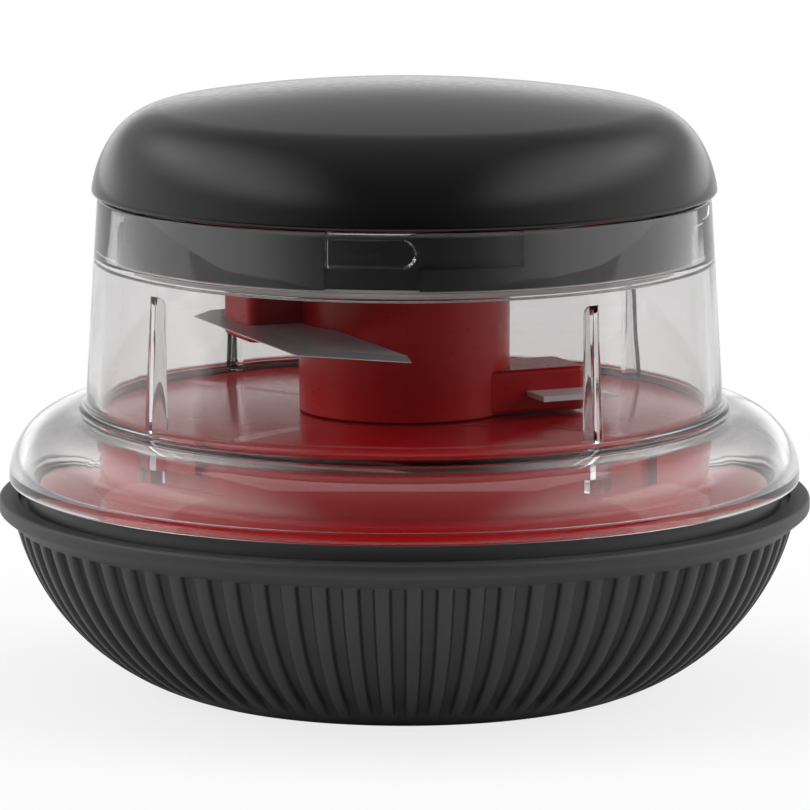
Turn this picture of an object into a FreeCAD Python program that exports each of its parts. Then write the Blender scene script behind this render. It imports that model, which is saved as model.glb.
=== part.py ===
import FreeCAD, Part
import math
import os
import Sketcher
from FreeCAD import Vector

# Palm-push food chopper. Pushing the domed cap down slides a nut along a twisted shaft, which
# turns the blade hub in a clear cup. Origin at the centre of the foot, +Z up, -Y is the front,
# angles are counter-clockwise from +X seen from above, all lengths in millimetres.

SIZES = {
    # Ribbed bowl
    "lip_radius": 65.2,
    "lip_top": 31.0,
    "lip_height": 2.0,
    "lip_width": 3.2,
    "bowl_radius": 62.5,
    "bowl_shoulder": 26.8,
    "bowl_round": 36.8,
    "bowl_wall": 2.4,
    "foot_radius": 37.4,
    "foot_stand": 0.3,
    "groove_count": 80,
    "groove_depth": 1.3,
    "groove_foot": 2.6,
    "groove_azimuth": 3.6,
    "ledge_width": 4.8,
    "spigot_wall": 1.6,
    # Foot ring
    "ring_inner": 31.0,
    "ring_outer": 36.0,
    "ring_depth": 1.6,
    # Chopping plate
    "flange_radius": 58.7,
    "flange_height": 3.2,
    "floor_top": 44.4,
    "floor_thick": 2.4,
    "drum_wall": 3.8,
    "drum_fillet": 1.9,
    "post_circle": 24.0,
    "post_radius": 3.4,
    "bowl_post_top": 10.0,
    "screw_radius": 1.25,
    "screw_head_radius": 2.7,
    "screw_head_height": 2.0,
    "screw_head_seat": 7.4,
    "screw_length": 14.0,
    "pin_radius": 3.0,
    "pin_top": 58.0,
    "pin_boss_radius": 6.0,
    "pin_boss_height": 6.0,
    # Clear housing
    "cup_top": 79.5,
    "cup_top_radius": 49.1,
    "cup_low_radius": 51.1,
    "cup_wall": 2.2,
    "bell_radius": 63.5,
    "bell_round": 11.0,
    "bell_wall": 2.3,
    "neck_fillet": 1.2,
    "rim_straight": 0.7,
    "rim_gap": 0.3,
    "rim_height": 1.5,
    "rim_overlap": 1.2,
    "bore_foot": 69.9,
    "bead_height": 1.3,
    "bead_reach": 1.3,
    "rib_azimuth": -53.0,
    "rib_thick": 1.6,
    "rib_reach": 1.7,
    "rib_foot": 44.9,
    "rib_top": 66.8,
    "tab_width": 3.0,
    "tab_thick": 1.5,
    "tab_foot": 37.8,
    "nib_height": 2.2,
    "slot_depth": 1.5,
    "bayonet_turn": 14.0,
    "lug_azimuth": -96.2,
    "lug_sweep": 16.8,
    "lug_foot": 73.8,
    "lug_height": 4.4,
    "lug_reach": 1.4,
    # Lid
    "collar_wall": 2.2,
    "collar_top": 79.3,
    "track_turn": 20.0,
    "lid_floor": 1.6,
    "rim_wall": 1.2,
    "rim_top": 83.0,
    "catch_height": 0.8,
    "catch_reach": 1.1,
    "catch_sweep": 14.0,
    "seal_height": 1.3,
    "seal_width": 1.6,
    "guide_outer": 41.8,
    "guide_wall": 2.0,
    "guide_top": 87.4,
    "stop_reach": 0.6,
    "stop_height": 1.0,
    "guide_flange": 6.3,
    "guide_flange_height": 1.5,
    "guide_screw_circle": 36.4,
    "key_width": 4.0,
    "key_depth": 1.2,
    "bush_outer": 5.6,
    "bush_flange": 7.6,
    "bush_flange_height": 1.0,
    "boss_radius": 8.0,
    "boss_rise": 0.4,
    "spring_radius": 16.0,
    "wire_radius": 0.7,
    "spring_turns": 6,
    "spring_seat_height": 1.0,
    # Plunger
    "carrier_disc": 1.6,
    "disc_gap": 0.6,
    "tube_outer": 11.5,
    "tube_bore": 9.2,
    "nut_foot": 74.0,
    "nut_height": 5.2,
    "nut_flats": 12.6,
    "nut_flange": 9.0,
    "nut_flange_height": 1.5,
    "nut_ring_height": 1.5,
    "turret_radius": 31.5,
    "turret_wall": 2.0,
    "turret_height": 2.5,
    "turret_lip": 1.2,
    "turret_lip_height": 0.8,
    # Palm cap
    "cap_radius": 50.0,
    "cap_rim": 80.3,
    "cap_top": 96.9,
    "cap_round": 18.95,
    "side_inset": 2.8,
    "side_rise": 7.85,
    "side_slope": 32.4,
    "shoulder_round": 12.0,
    "crown_inset": 10.9,
    "crown_sag": 3.35,
    "cap_wall": 2.0,
    "cap_bevel": 0.6,
    "hook_foot": 80.3,
    "hook_height": 1.5,
    "hook_sweep": 14.0,
    "hook_gap": 3.0,
    "retainer_height": 1.2,
    "cap_boss_radius": 3.0,
    # Drive shaft
    "shaft_side": 5.2,
    "shaft_lead": 26.0,
    "shaft_top": 93.0,
    "journal_radius": 3.6,
    "shaft_foot": 62.0,
    "driver_radius": 10.8,
    "driver_disc": 2.0,
    "driver_top": 67.0,
    "jaw_height": 3.4,
    "jaw_inner": 5.0,
    "jaw_sweep": 60.0,
    "driver_boss": 4.7,
    "washer_radius": 6.5,
    "washer_height": 0.6,
    "clip_radius": 5.4,
    "clip_height": 0.7,
    "clip_groove": 0.7,
    "cross_pin_radius": 1.0,
    # Blade hub
    "hub_radius": 16.9,
    "hub_top": 69.0,
    "hub_azimuth": 203.1,
    "socket_radius": 12.0,
    "socket_floor": 60.0,
    "socket_plate": 1.2,
    "hub_bush_outer": 5.0,
    "hub_bush_flange": 7.0,
    "hub_bush_height": 13.4,
    "arm_end": 25.8,
    "arm_front": 2.1,
    "arm_back": 14.2,
    "arm_root": 14.5,
    "arm_round": 1.6,
    "arm_edge": 0.8,
    "upper_arm_foot": 56.3,
    "upper_arm_height": 8.7,
    "lower_arm_height": 7.3,
    "upper_blade_level": 58.3,
    "lower_blade_level": 47.6,
    "blade_thick": 0.9,
    "blade_inner": 15.0,
    "blade_outer": 28.5,
    "blade_bevel": 3.2,
    "blade_edge": 0.12,
    "blade_heel_inner": 21.0,
    "blade_heel_outer": 20.5,
    "blade_tip_inner": 38.0,
    "blade_tip_outer": 24.4,
    # Fits
    "running_gap": 0.05,
    "sliding_gap": 0.3,
    "press_gap": 0.02,
}

doc = FreeCAD.newDocument("palm_chopper")
sheet = doc.addObject("Spreadsheet::Sheet", "Sizes")
for row, (alias, number) in enumerate(SIZES.items(), start=1):
    sheet.set(f"A{row}", alias)
    sheet.set(f"B{row}", str(number))
    sheet.setAlias(f"B{row}", alias)
doc.recompute()


class Size:
    """A dimension that carries its number and the formula that ties it to the sheet."""

    def __init__(self, value, text):
        self.value = float(value)
        self.text = text

    def __add__(self, other):
        other = as_size(other)
        return Size(self.value + other.value, f"({self.text} + {other.text})")

    def __sub__(self, other):
        other = as_size(other)
        return Size(self.value - other.value, f"({self.text} - {other.text})")

    def __mul__(self, other):
        other = as_size(other)
        return Size(self.value * other.value, f"({self.text} * {other.text})")

    def __truediv__(self, other):
        other = as_size(other)
        return Size(self.value / other.value, f"({self.text} / {other.text})")

    def __radd__(self, other):
        return as_size(other) + self

    def __rsub__(self, other):
        return as_size(other) - self

    def __rmul__(self, other):
        return as_size(other) * self

    def __neg__(self):
        return Size(-self.value, f"(0 - {self.text})")


def as_size(number):
    """Let a plain number take part in a formula."""
    return number if isinstance(number, Size) else Size(number, f"({number})")


def root(size):
    """Square root of a dimension."""
    return Size(math.sqrt(size.value), f"sqrt({size.text})")


def across(radius, angle):
    """X of a point at a radius and an angle in degrees."""
    radius, angle = as_size(radius), as_size(angle)
    number = radius.value * math.cos(math.radians(angle.value))
    return Size(number, f"({radius.text} * cos({angle.text} * 1 deg))")


def along(radius, angle):
    """Y of a point at a radius and an angle in degrees."""
    radius, angle = as_size(radius), as_size(angle)
    number = radius.value * math.sin(math.radians(angle.value))
    return Size(number, f"({radius.text} * sin({angle.text} * 1 deg))")


class Sheet:
    """The driving dimensions, one attribute for each row of the sheet."""


d = Sheet()
for alias, number in SIZES.items():
    setattr(d, alias, Size(number, f"Sizes.{alias}"))


def bind(item, field, size):
    """Tie one property of an object to the sheet."""
    item.setExpression(field, as_size(size).text)


def plane(owner, role):
    """One of a body's own origin planes or axes."""
    for feature in owner.Origin.OriginFeatures:
        if feature.Role == role:
            return feature
    raise ValueError(role)


def arc_between(start, end, radius):
    """A circular arc under half a turn, its centre on the left of the way from start to end when
    the radius is positive. Also returns which of its ends is the start."""
    chord = end - start
    middle = (start + end) * 0.5
    height = math.sqrt(radius * radius - chord.Length * chord.Length / 4)
    left = Vector(-chord.y, chord.x, 0).normalize()
    centre = middle + left * math.copysign(height, radius)
    first, last = (start, end) if radius > 0 else (end, start)
    low = math.atan2(first.y - centre.y, first.x - centre.x)
    high = math.atan2(last.y - centre.y, last.x - centre.x)
    if high < low:
        high += 2 * math.pi
    circle = Part.Circle(centre, Vector(0, 0, 1), abs(radius))
    return Part.ArcOfCircle(circle, low, high), (1, 2) if radius > 0 else (2, 1)


def draw(owner, name, role, path, level=None):
    """Draw a closed outline on a body's own plane. A step of the path is a corner (x, y), or
    (x, y, radius) where an arc arrives at it. Every corner and radius is tied to the sheet."""
    sketch = owner.newObject("Sketcher::SketchObject", name)
    sketch.AttachmentSupport = [(plane(owner, role), "")]
    sketch.MapMode = "FlatFace"
    if level is not None:
        bind(sketch, "AttachmentOffset.Base.z", level)
    corners = [(as_size(step[0]), as_size(step[1])) for step in path]
    points = [Vector(x.value, y.value, 0) for x, y in corners]
    ends = []
    for i, step in enumerate(path):
        if len(step) > 2:
            shape, pair = arc_between(points[i - 1], points[i], as_size(step[2]).value)
        else:
            shape, pair = Part.LineSegment(points[i - 1], points[i]), (1, 2)
        sketch.addGeometry(shape, False)
        ends.append(pair)
    for i, (x, y) in enumerate(corners):
        after = (i + 1) % len(path)
        sketch.addConstraint(Sketcher.Constraint("Coincident", i, ends[i][1], after, ends[after][0]))
        for kind, size, axis in (("DistanceX", x, -2), ("DistanceY", y, -1)):
            if size.value == 0:
                sketch.addConstraint(Sketcher.Constraint("PointOnObject", i, ends[i][1], axis))
            else:
                index = sketch.addConstraint(
                    Sketcher.Constraint(kind, -1, 1, i, ends[i][1], size.value))
                bind(sketch, f"Constraints[{index}]", size)
        if len(path[i]) > 2:
            radius = as_size(path[i][2])
            radius = radius if radius.value > 0 else -radius
            index = sketch.addConstraint(Sketcher.Constraint("Radius", i, radius.value))
            bind(sketch, f"Constraints[{index}]", radius)
    return sketch


def turned(name, path):
    """A body whose outline of (radius, height) corners turns about the Z axis."""
    owner = doc.addObject("PartDesign::Body", name)
    sketch = draw(owner, name + "_outline", "XZ_Plane", path)
    solid = owner.newObject("PartDesign::Revolution", name + "_turned")
    solid.Profile = sketch
    solid.ReferenceAxis = (sketch, ["V_Axis"])
    solid.Angle = 360
    sketch.Visibility = False
    doc.recompute()
    return owner


def padded(name, path, foot, height):
    """A body padded up from a flat outline."""
    owner = doc.addObject("PartDesign::Body", name)
    sketch = draw(owner, name + "_outline", "XY_Plane", path, foot)
    solid = owner.newObject("PartDesign::Pad", name + "_pad")
    solid.Profile = sketch
    bind(solid, "Length", height)
    sketch.Visibility = False
    doc.recompute()
    return owner


def cylinder(name, radius, foot, height, circle=0, angle=0):
    """An upright cylinder at a place on a pitch circle."""
    item = doc.addObject("Part::Cylinder", name)
    bind(item, "Radius", radius)
    bind(item, "Height", height)
    bind(item, "Placement.Base.z", foot)
    if as_size(circle).value:
        bind(item, "Placement.Base.x", across(circle, angle))
        bind(item, "Placement.Base.y", along(circle, angle))
    return item


def sector(name, inner, outer, foot, height, start, sweep):
    """A ring sector between two radii, from one angle through a sweep."""
    outside = doc.addObject("Part::Cylinder", name + "_outside")
    inside = doc.addObject("Part::Cylinder", name + "_inside")
    for item, radius in ((outside, outer), (inside, inner)):
        bind(item, "Radius", radius)
        bind(item, "Height", height)
        bind(item, "Placement.Base.z", foot)
    bind(outside, "Angle", sweep)
    bind(outside, "Placement.Rotation.Angle", start)
    return cut(name, outside, [inside])


def block(name, low, high, angle=0):
    """A box between two corners, turned about the Z axis."""
    item = doc.addObject("Part::Box", name)
    lows = [as_size(value) for value in low]
    highs = [as_size(value) for value in high]
    for field, first, last in zip(("Length", "Width", "Height"), lows, highs):
        bind(item, field, last - first)
    bind(item, "Placement.Base.x", across(lows[0], angle) - along(lows[1], angle))
    bind(item, "Placement.Base.y", along(lows[0], angle) + across(lows[1], angle))
    bind(item, "Placement.Base.z", lows[2])
    bind(item, "Placement.Rotation.Angle", angle)
    return item


def fused(name, items):
    """Several shapes made one."""
    if len(items) == 1:
        return items[0]
    item = doc.addObject("Part::MultiFuse", name)
    item.Shapes = items
    item.Refine = True
    return item


def cut(name, base, tools):
    """A shape with others taken out of it. The tools have to remove material."""
    item = doc.addObject("Part::Cut", name)
    item.Base = base
    item.Tool = fused(name + "_tools", tools)
    item.Refine = True
    doc.recompute()
    if item.Shape.Volume > base.Shape.Volume - 1e-3:
        raise ValueError(f"{name}: nothing was cut")
    return item


def group(name, items):
    """Like pieces that share one node as separate solids."""
    item = doc.addObject("Part::Compound", name)
    item.Links = items
    return item


nodes = {}


def piece(label, item):
    """Name a finished sub-part."""
    item.Label = label
    nodes[label] = item
    return item


# Base bowl: a turned shell with a rolled lip and four screw posts. A ledge and the low ring that
# stands on it hold the plate's flange.

def bowl_side(level, inset=0):
    """Radius of the bowl's round side at a level, a given distance inside its outer face."""
    drop = level - bowl_centre_level
    return bowl_centre_radius + root((d.bowl_round - inset) * (d.bowl_round - inset) - drop * drop)


side_run = d.bowl_radius - d.foot_radius
side_rise = d.bowl_shoulder - d.foot_stand
half_chord = root(side_run * side_run + side_rise * side_rise) / 2
centre_away = root(d.bowl_round * d.bowl_round - half_chord * half_chord)
bowl_centre_radius = (d.bowl_radius + d.foot_radius) / 2 - centre_away * side_rise / half_chord / 2
bowl_centre_level = (d.bowl_shoulder + d.foot_stand) / 2 + centre_away * side_run / half_chord / 2
bowl_floor = d.foot_stand + d.bowl_wall
lip_round = 0.5
ledge = d.lip_top - 1
ledge_inner = d.lip_radius - d.lip_width - d.ledge_width
flange_top = ledge + d.flange_height
spigot_inner = d.flange_radius + d.sliding_gap
spigot_outer = spigot_inner + d.spigot_wall
inner_side_top = d.bowl_shoulder - 1
inner_round = d.bowl_round - d.bowl_wall
bowl_solid = turned("bowl_shell", [
    (0, d.foot_stand),
    (d.foot_radius, d.foot_stand),
    (d.bowl_radius, d.bowl_shoulder, d.bowl_round),
    (d.lip_radius, d.lip_top - d.lip_height),
    (d.lip_radius, d.lip_top - lip_round),
    (d.lip_radius - lip_round, d.lip_top, lip_round),
    (d.lip_radius - d.lip_width, d.lip_top),
    (d.lip_radius - d.lip_width, ledge),
    (spigot_outer, ledge),
    (spigot_outer, flange_top),
    (spigot_inner, flange_top),
    (spigot_inner, ledge),
    (ledge_inner, ledge),
    (ledge_inner, ledge - d.bowl_wall),
    (bowl_side(inner_side_top, d.bowl_wall), inner_side_top),
    (bowl_side(bowl_floor, d.bowl_wall), bowl_floor, -inner_round),
    (0, bowl_floor),
])
groove_floor = d.bowl_round - d.groove_depth
groove_clear = 2
groove_run_out = d.groove_foot + d.groove_depth * 2
groove_sketch = draw(bowl_solid, "groove_outline", "XZ_Plane", [
    (bowl_side(d.groove_foot), d.groove_foot),
    (bowl_side(d.groove_foot, -groove_clear), d.groove_foot),
    (bowl_side(d.bowl_shoulder, -groove_clear), d.bowl_shoulder, d.bowl_round + groove_clear),
    (bowl_side(d.bowl_shoulder, d.groove_depth), d.bowl_shoulder),
    (bowl_side(groove_run_out, d.groove_depth), groove_run_out, -groove_floor),
])
groove = bowl_solid.newObject("PartDesign::Groove", "side_groove")
groove.Profile = groove_sketch
groove.ReferenceAxis = (groove_sketch, ["V_Axis"])
groove_sweep = Size(180, "180") / d.groove_count
bind(groove, "Angle", groove_sweep)
groove_sketch.Visibility = False
doc.recompute()
grooves = bowl_solid.newObject("PartDesign::PolarPattern", "side_grooves")
grooves.Originals = [groove]
grooves.Axis = (groove_sketch, ["V_Axis"])
grooves.Angle = 360
bind(grooves, "Occurrences", d.groove_count)
bowl_solid.Tip = grooves
bind(bowl_solid, "Placement.Rotation.Angle", d.groove_azimuth - groove_sweep / 2)
doc.recompute()

drum_radius =d.cup_low_radius - d.cup_wall - d.sliding_gap
post_angles = (0, 90, 180, 270)
head_pocket = d.screw_head_radius + d.sliding_gap
bowl_posts = [
    cylinder(f"bowl_post_{angle}", head_pocket + 1.2, d.foot_stand + 1,
             d.bowl_post_top - d.foot_stand - 1, d.post_circle, angle)
    for angle in post_angles
]
bowl_holes = [
    cylinder(f"bowl_pocket_{angle}", head_pocket, -1, d.screw_head_seat + 1, d.post_circle, angle)
    for angle in post_angles
] + [
    cylinder(f"bowl_hole_{angle}", d.screw_radius + d.sliding_gap, 0, d.bowl_post_top + 1,
             d.post_circle, angle)
    for angle in post_angles
]
ring_seat = sector("ring_seat", d.ring_inner, d.ring_outer, -1, d.foot_stand + d.ring_depth + 1, 0, 360)
piece("base_bowl", cut("base_bowl", fused("bowl_with_posts", [bowl_solid] + bowl_posts),
                       bowl_holes + [ring_seat]))

# Foot ring: a soft ring let into the underside, proud of it by the foot stand.

ring_edge = 0.4
piece("foot_ring", turned("foot_ring", [
    (d.ring_inner + ring_edge, 0),
    (d.ring_outer - ring_edge, 0),
    (d.ring_outer, d.foot_stand),
    (d.ring_outer, d.foot_stand + d.ring_depth),
    (d.ring_inner, d.foot_stand + d.ring_depth),
    (d.ring_inner, d.foot_stand),
]))


# Screws: a round head with a hexagonal drive pocket, the shank away from the head.

def screw(name, head_radius, head_height, seat, shank_radius, length, circle, angle, upward=True):
    """A cap screw on a pitch circle. The seat is where the head meets what it clamps."""
    drive_depth = head_height * 0.6
    head_foot = seat - head_height if upward else seat
    shank_foot = seat if upward else seat - length
    drive_foot = head_foot if upward else seat + head_height - drive_depth
    head = cylinder(name + "_head", head_radius, head_foot, head_height, circle, angle)
    shank = cylinder(name + "_shank", shank_radius, shank_foot, length, circle, angle)
    drive = doc.addObject("Part::Prism", name + "_drive")
    drive.Polygon = 6
    bind(drive, "Circumradius", head_radius * 0.5)
    bind(drive, "Height", drive_depth)
    bind(drive, "Placement.Base.x", across(circle, angle))
    bind(drive, "Placement.Base.y", along(circle, angle))
    bind(drive, "Placement.Base.z", drive_foot)
    return cut(name, fused(name + "_body", [head, shank]), [drive])


piece("plate_screws", group("plate_screws", [
    screw(f"plate_screw_{angle}", d.screw_head_radius, d.screw_head_height, d.screw_head_seat,
          d.screw_radius, d.screw_length, d.post_circle, angle)
    for angle in post_angles
]))

# Chopping plate: a raised drum on a flange, with posts for the screws, a boss for the spindle
# pin and four L-shaped slots that take the nibs of the clear housing.

floor_under = d.floor_top - d.floor_thick
edge_round = 0.6
plate_solid = turned("plate_solid", [
    (0, d.floor_top),
    (drum_radius - edge_round, d.floor_top),
    (drum_radius, d.floor_top - edge_round, -edge_round),
    (drum_radius, flange_top + d.drum_fillet),
    (drum_radius + d.drum_fillet, flange_top, d.drum_fillet),
    (d.flange_radius - edge_round, flange_top),
    (d.flange_radius, flange_top - edge_round, -edge_round),
    (d.flange_radius, ledge),
    (drum_radius - d.drum_wall, ledge),
    (drum_radius - d.drum_wall, floor_under),
    (0, floor_under),
])
boss_under = floor_under - d.pin_boss_height
plate_posts = [
    cylinder(f"plate_post_{angle}", d.post_radius, d.bowl_post_top,
             floor_under - d.bowl_post_top + 1, d.post_circle, angle)
    for angle in post_angles
] + [cylinder("pin_boss", d.pin_boss_radius, boss_under, d.pin_boss_height + 1)]
pilot_top = d.screw_head_seat + d.screw_length + 1
plate_holes = [
    cylinder(f"plate_pilot_{angle}", d.screw_radius, d.bowl_post_top - 1,
             pilot_top - d.bowl_post_top + 1, d.post_circle, angle)
    for angle in post_angles
] + [cylinder("pin_hole", d.pin_radius, boss_under - 1, d.floor_top - boss_under + 2)]
nib_inner = drum_radius - d.slot_depth + d.sliding_gap
nib_half = d.tab_width / 2 / drum_radius * 57.3 + 0.7
quarter_turns = (0, 90, 180, 270)
slots = []
for turn in quarter_turns:
    start = d.rib_azimuth + turn - nib_half
    slots.append(sector(f"slot_run_{turn}", drum_radius - d.slot_depth, drum_radius + 1,
                        d.tab_foot - d.sliding_gap, d.nib_height + d.sliding_gap * 2,
                        start, d.bayonet_turn + nib_half * 2))
    slots.append(sector(f"slot_entry_{turn}", drum_radius - d.slot_depth, drum_radius + 1,
                        d.tab_foot, d.floor_top - d.tab_foot + 1,
                        start + d.bayonet_turn, nib_half * 2))
piece("chopping_plate", cut("chopping_plate", fused("plate_with_posts", [plate_solid] + plate_posts),
                            plate_holes + slots))

# Spindle pin: a headed steel pin pressed into the plate's boss, which the blade hub turns on.

pin_tip = 0.6
pin_head_radius = d.pin_radius + 1.2
pin_head_height = 1.0
piece("spindle_pin", turned("spindle_pin", [
    (0, boss_under - pin_head_height),
    (pin_head_radius, boss_under - pin_head_height),
    (pin_head_radius, boss_under),
    (d.pin_radius, boss_under),
    (d.pin_radius, d.pin_top - pin_tip),
    (d.pin_radius - pin_tip, d.pin_top),
    (0, d.pin_top),
]))


# Clear housing: a tapered cup over a bell-shaped skirt, with four inside ribs, four tabs whose
# nibs lock in the plate's slots, and four lugs near the top that carry the lid.

def fin(name, path, thick, angle):
    """A thin upright plate drawn as (radius, height) and turned to its angle."""
    owner = doc.addObject("PartDesign::Body", name)
    sketch = draw(owner, name + "_outline", "XZ_Plane", path)
    solid = owner.newObject("PartDesign::Pad", name + "_pad")
    solid.Profile = sketch
    solid.Midplane = True
    bind(solid, "Length", thick)
    bind(owner, "Placement.Rotation.Angle", angle)
    sketch.Visibility = False
    doc.recompute()
    return owner


rim_foot = flange_top + d.rim_gap
bell_level = rim_foot + d.rim_straight
bell_top = bell_level + d.bell_round
neck_level = bell_top + d.neck_fillet
cup_taper = (d.cup_low_radius - d.cup_top_radius) / (d.cup_top - neck_level)
bore_radius = d.cup_top_radius - d.cup_wall
bead_foot = d.bore_foot - d.bead_height
bead_inner = bore_radius - d.bead_reach
rim_inner = spigot_outer - d.rim_overlap
bell_inner_round = d.bell_round - d.bell_wall
rim_above = d.rim_height - d.rim_straight
bell_inner_reach = root(bell_inner_round * bell_inner_round - rim_above * rim_above)


def cup_inner(level):
    """Inside radius of the tapered wall below the bead."""
    return d.cup_top_radius + cup_taper * (d.cup_top - level) - d.cup_wall


housing_solid = turned("housing_solid", [
    (rim_inner, rim_foot),
    (d.bell_radius - edge_round, rim_foot),
    (d.bell_radius, rim_foot + edge_round, edge_round),
    (d.bell_radius, bell_level),
    (d.bell_radius - d.bell_round, bell_top, d.bell_round),
    (d.cup_low_radius + d.neck_fillet, bell_top),
    (d.cup_low_radius, neck_level, -d.neck_fillet),
    (d.cup_top_radius, d.cup_top - edge_round),
    (d.cup_top_radius - edge_round, d.cup_top, edge_round),
    (bore_radius, d.cup_top),
    (bore_radius, d.bore_foot),
    (bead_inner, d.bore_foot),
    (bead_inner, bead_foot),
    (cup_inner(bead_foot), bead_foot),
    (d.cup_low_radius - d.cup_wall, neck_level),
    (d.cup_low_radius - d.cup_wall, bell_top - d.bell_wall),
    (d.bell_radius - d.bell_round, bell_top - d.bell_wall),
    (d.bell_radius - d.bell_round + bell_inner_reach, rim_foot + d.rim_height,
     d.bell_wall - d.bell_round),
    (rim_inner, rim_foot + d.rim_height),
])
rib_inner = cup_inner(d.rib_top) - d.rib_reach
wall_depth = d.cup_wall - edge_round
tab_inner = drum_radius + d.sliding_gap * 1.5
tab_top = bell_top - d.bell_wall / 2
nib_top = d.tab_foot + d.nib_height
housing_parts = [housing_solid]
for turn in quarter_turns:
    angle = d.rib_azimuth + turn
    housing_parts.append(fin(f"rib_{turn}", [
        (rib_inner, d.rib_foot),
        (cup_inner(d.rib_foot) + wall_depth, d.rib_foot),
        (cup_inner(d.rib_top) + wall_depth, d.rib_top),
        (rib_inner + d.rib_reach, d.rib_top),
        (rib_inner, d.rib_top - d.rib_reach, d.rib_reach),
    ], d.rib_thick, angle))
    housing_parts.append(fin(f"tab_{turn}", [
        (nib_inner, d.tab_foot),
        (tab_inner + d.tab_thick, d.tab_foot),
        (tab_inner + d.tab_thick, tab_top),
        (tab_inner, tab_top),
        (tab_inner, nib_top),
        (nib_inner, nib_top),
    ], d.tab_width, angle))
    housing_parts.append(sector(f"lug_{turn}", bore_radius - d.lug_reach, bore_radius + edge_round,
                                d.lug_foot, d.lug_height,
                                d.lug_azimuth + turn - d.lug_sweep / 2, d.lug_sweep))
piece("clear_housing", fused("clear_housing", housing_parts))

# Lid collar: a dark ring inside the housing's mouth with L-shaped tracks for the lugs, closed by
# a floor that holds the shaft's bush and the spring. Its thin rim carries three catches.

collar_outer = bore_radius - d.sliding_gap
collar_inner = collar_outer - d.collar_wall
collar_foot = d.bore_foot + d.sliding_gap
lid_floor_top = collar_foot + d.lid_floor
rim_outer = collar_inner + d.rim_wall
washer_foot = d.driver_top + d.running_gap
bush_foot = washer_foot + d.washer_height + d.sliding_gap
boss_foot = bush_foot + d.bush_flange_height
boss_top = lid_floor_top + d.boss_rise
bush_top = boss_top + d.running_gap
spring_inner = d.spring_radius - d.wire_radius - d.sliding_gap
seat_wall = 1.2
seat_top = lid_floor_top + d.spring_seat_height
collar_solid = turned("collar_solid", [
    (d.bush_outer, boss_foot),
    (d.boss_radius, boss_foot),
    (d.boss_radius, collar_foot),
    (collar_outer, collar_foot),
    (collar_outer, d.collar_top),
    (rim_outer, d.collar_top),
    (rim_outer, d.rim_top),
    (collar_inner, d.rim_top),
    (collar_inner, lid_floor_top),
    (spring_inner, lid_floor_top),
    (spring_inner, seat_top),
    (spring_inner - seat_wall, seat_top),
    (spring_inner - seat_wall, lid_floor_top),
    (d.boss_radius, lid_floor_top),
    (d.boss_radius, boss_top),
    (d.bush_outer, boss_top),
])
hook_angles = (30, 150, 270)
catch_start = d.hook_sweep / 2 + d.hook_gap
catches = [
    sector(f"catch_{angle}", collar_inner + 0.2, rim_outer + d.catch_reach,
           d.rim_top - d.catch_height, d.catch_height, catch_start + angle, d.catch_sweep)
    for angle in hook_angles
]
track_inner = bore_radius - d.lug_reach - d.sliding_gap
track_margin = 0.6
track_foot = d.lug_foot - d.sliding_gap
track_height = d.lug_height + d.sliding_gap * 2
tracks = []
for turn in quarter_turns:
    start = d.lug_azimuth + turn - d.lug_sweep / 2 - track_margin
    entry_sweep = d.lug_sweep + track_margin * 2
    tracks.append(sector(f"track_entry_{turn}", track_inner, collar_outer + 1, collar_foot - 1,
                         track_foot - collar_foot + 2, start, entry_sweep))
    tracks.append(sector(f"track_run_{turn}", track_inner, collar_outer + 1, track_foot,
                         track_height, start, entry_sweep + d.track_turn))
guide_angles = (90, 210, 330)
guide_pilot = 1.1
guide_pilots = [
    cylinder(f"floor_pilot_{angle}", 1.0, lid_floor_top - guide_pilot, guide_pilot + 1,
             d.guide_screw_circle, angle)
    for angle in guide_angles
]
piece("lid_collar", cut("lid_collar", fused("collar_with_catches", [collar_solid] + catches),
                        tracks + guide_pilots))

# Lid seal: a soft ring under the floor that wipes the bead of the housing.

seal_outer = bead_inner - d.sliding_gap
seal_foot = collar_foot - d.seal_height
seal_lip = 0.4
piece("lid_seal", turned("lid_seal", [
    (seal_outer - d.seal_width, collar_foot),
    (seal_outer - d.seal_width, seal_foot + seal_lip),
    (seal_outer - seal_lip, seal_foot),
    (seal_outer, seal_foot + seal_lip),
    (seal_outer, collar_foot),
]))

# Plunger guide: a ring screwed to the lid floor. Three grooves hold the plunger's keys and the
# outward bead at the top stops it from coming off.

guide_inner = d.guide_outer - d.guide_wall
stop_radius = d.guide_outer + d.stop_reach
guide_flange_top = lid_floor_top + d.guide_flange_height
guide_solid = turned("guide_solid", [
    (guide_inner - d.guide_flange, lid_floor_top),
    (d.guide_outer, lid_floor_top),
    (d.guide_outer, d.guide_top - d.stop_height),
    (stop_radius, d.guide_top - d.stop_height),
    (stop_radius, d.guide_top),
    (guide_inner, d.guide_top),
    (guide_inner, guide_flange_top),
    (guide_inner - d.guide_flange, guide_flange_top),
])
key_angles = (30, 150, 270)
key_half = d.key_width / 2
key_grooves = [
    block(f"key_groove_{angle}",
          (d.guide_outer - d.key_depth, -(key_half + d.sliding_gap), lid_floor_top - 1),
          (stop_radius + 1, key_half + d.sliding_gap, d.guide_top + 1), angle)
    for angle in key_angles
]
guide_holes = [
    cylinder(f"guide_hole_{angle}", 1.0 + d.running_gap, lid_floor_top - 1,
             d.guide_flange_height + 2, d.guide_screw_circle, angle)
    for angle in guide_angles
]
piece("plunger_guide", cut("plunger_guide", guide_solid, key_grooves + guide_holes))
piece("guide_screws", group("guide_screws", [
    screw(f"guide_screw_{angle}", as_size(1.9), as_size(1.2), guide_flange_top, as_size(1.0),
          d.guide_flange_height + guide_pilot, d.guide_screw_circle, angle, upward=False)
    for angle in guide_angles
]))

# Shaft bush: a flanged plain bearing in the lid's boss.

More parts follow.
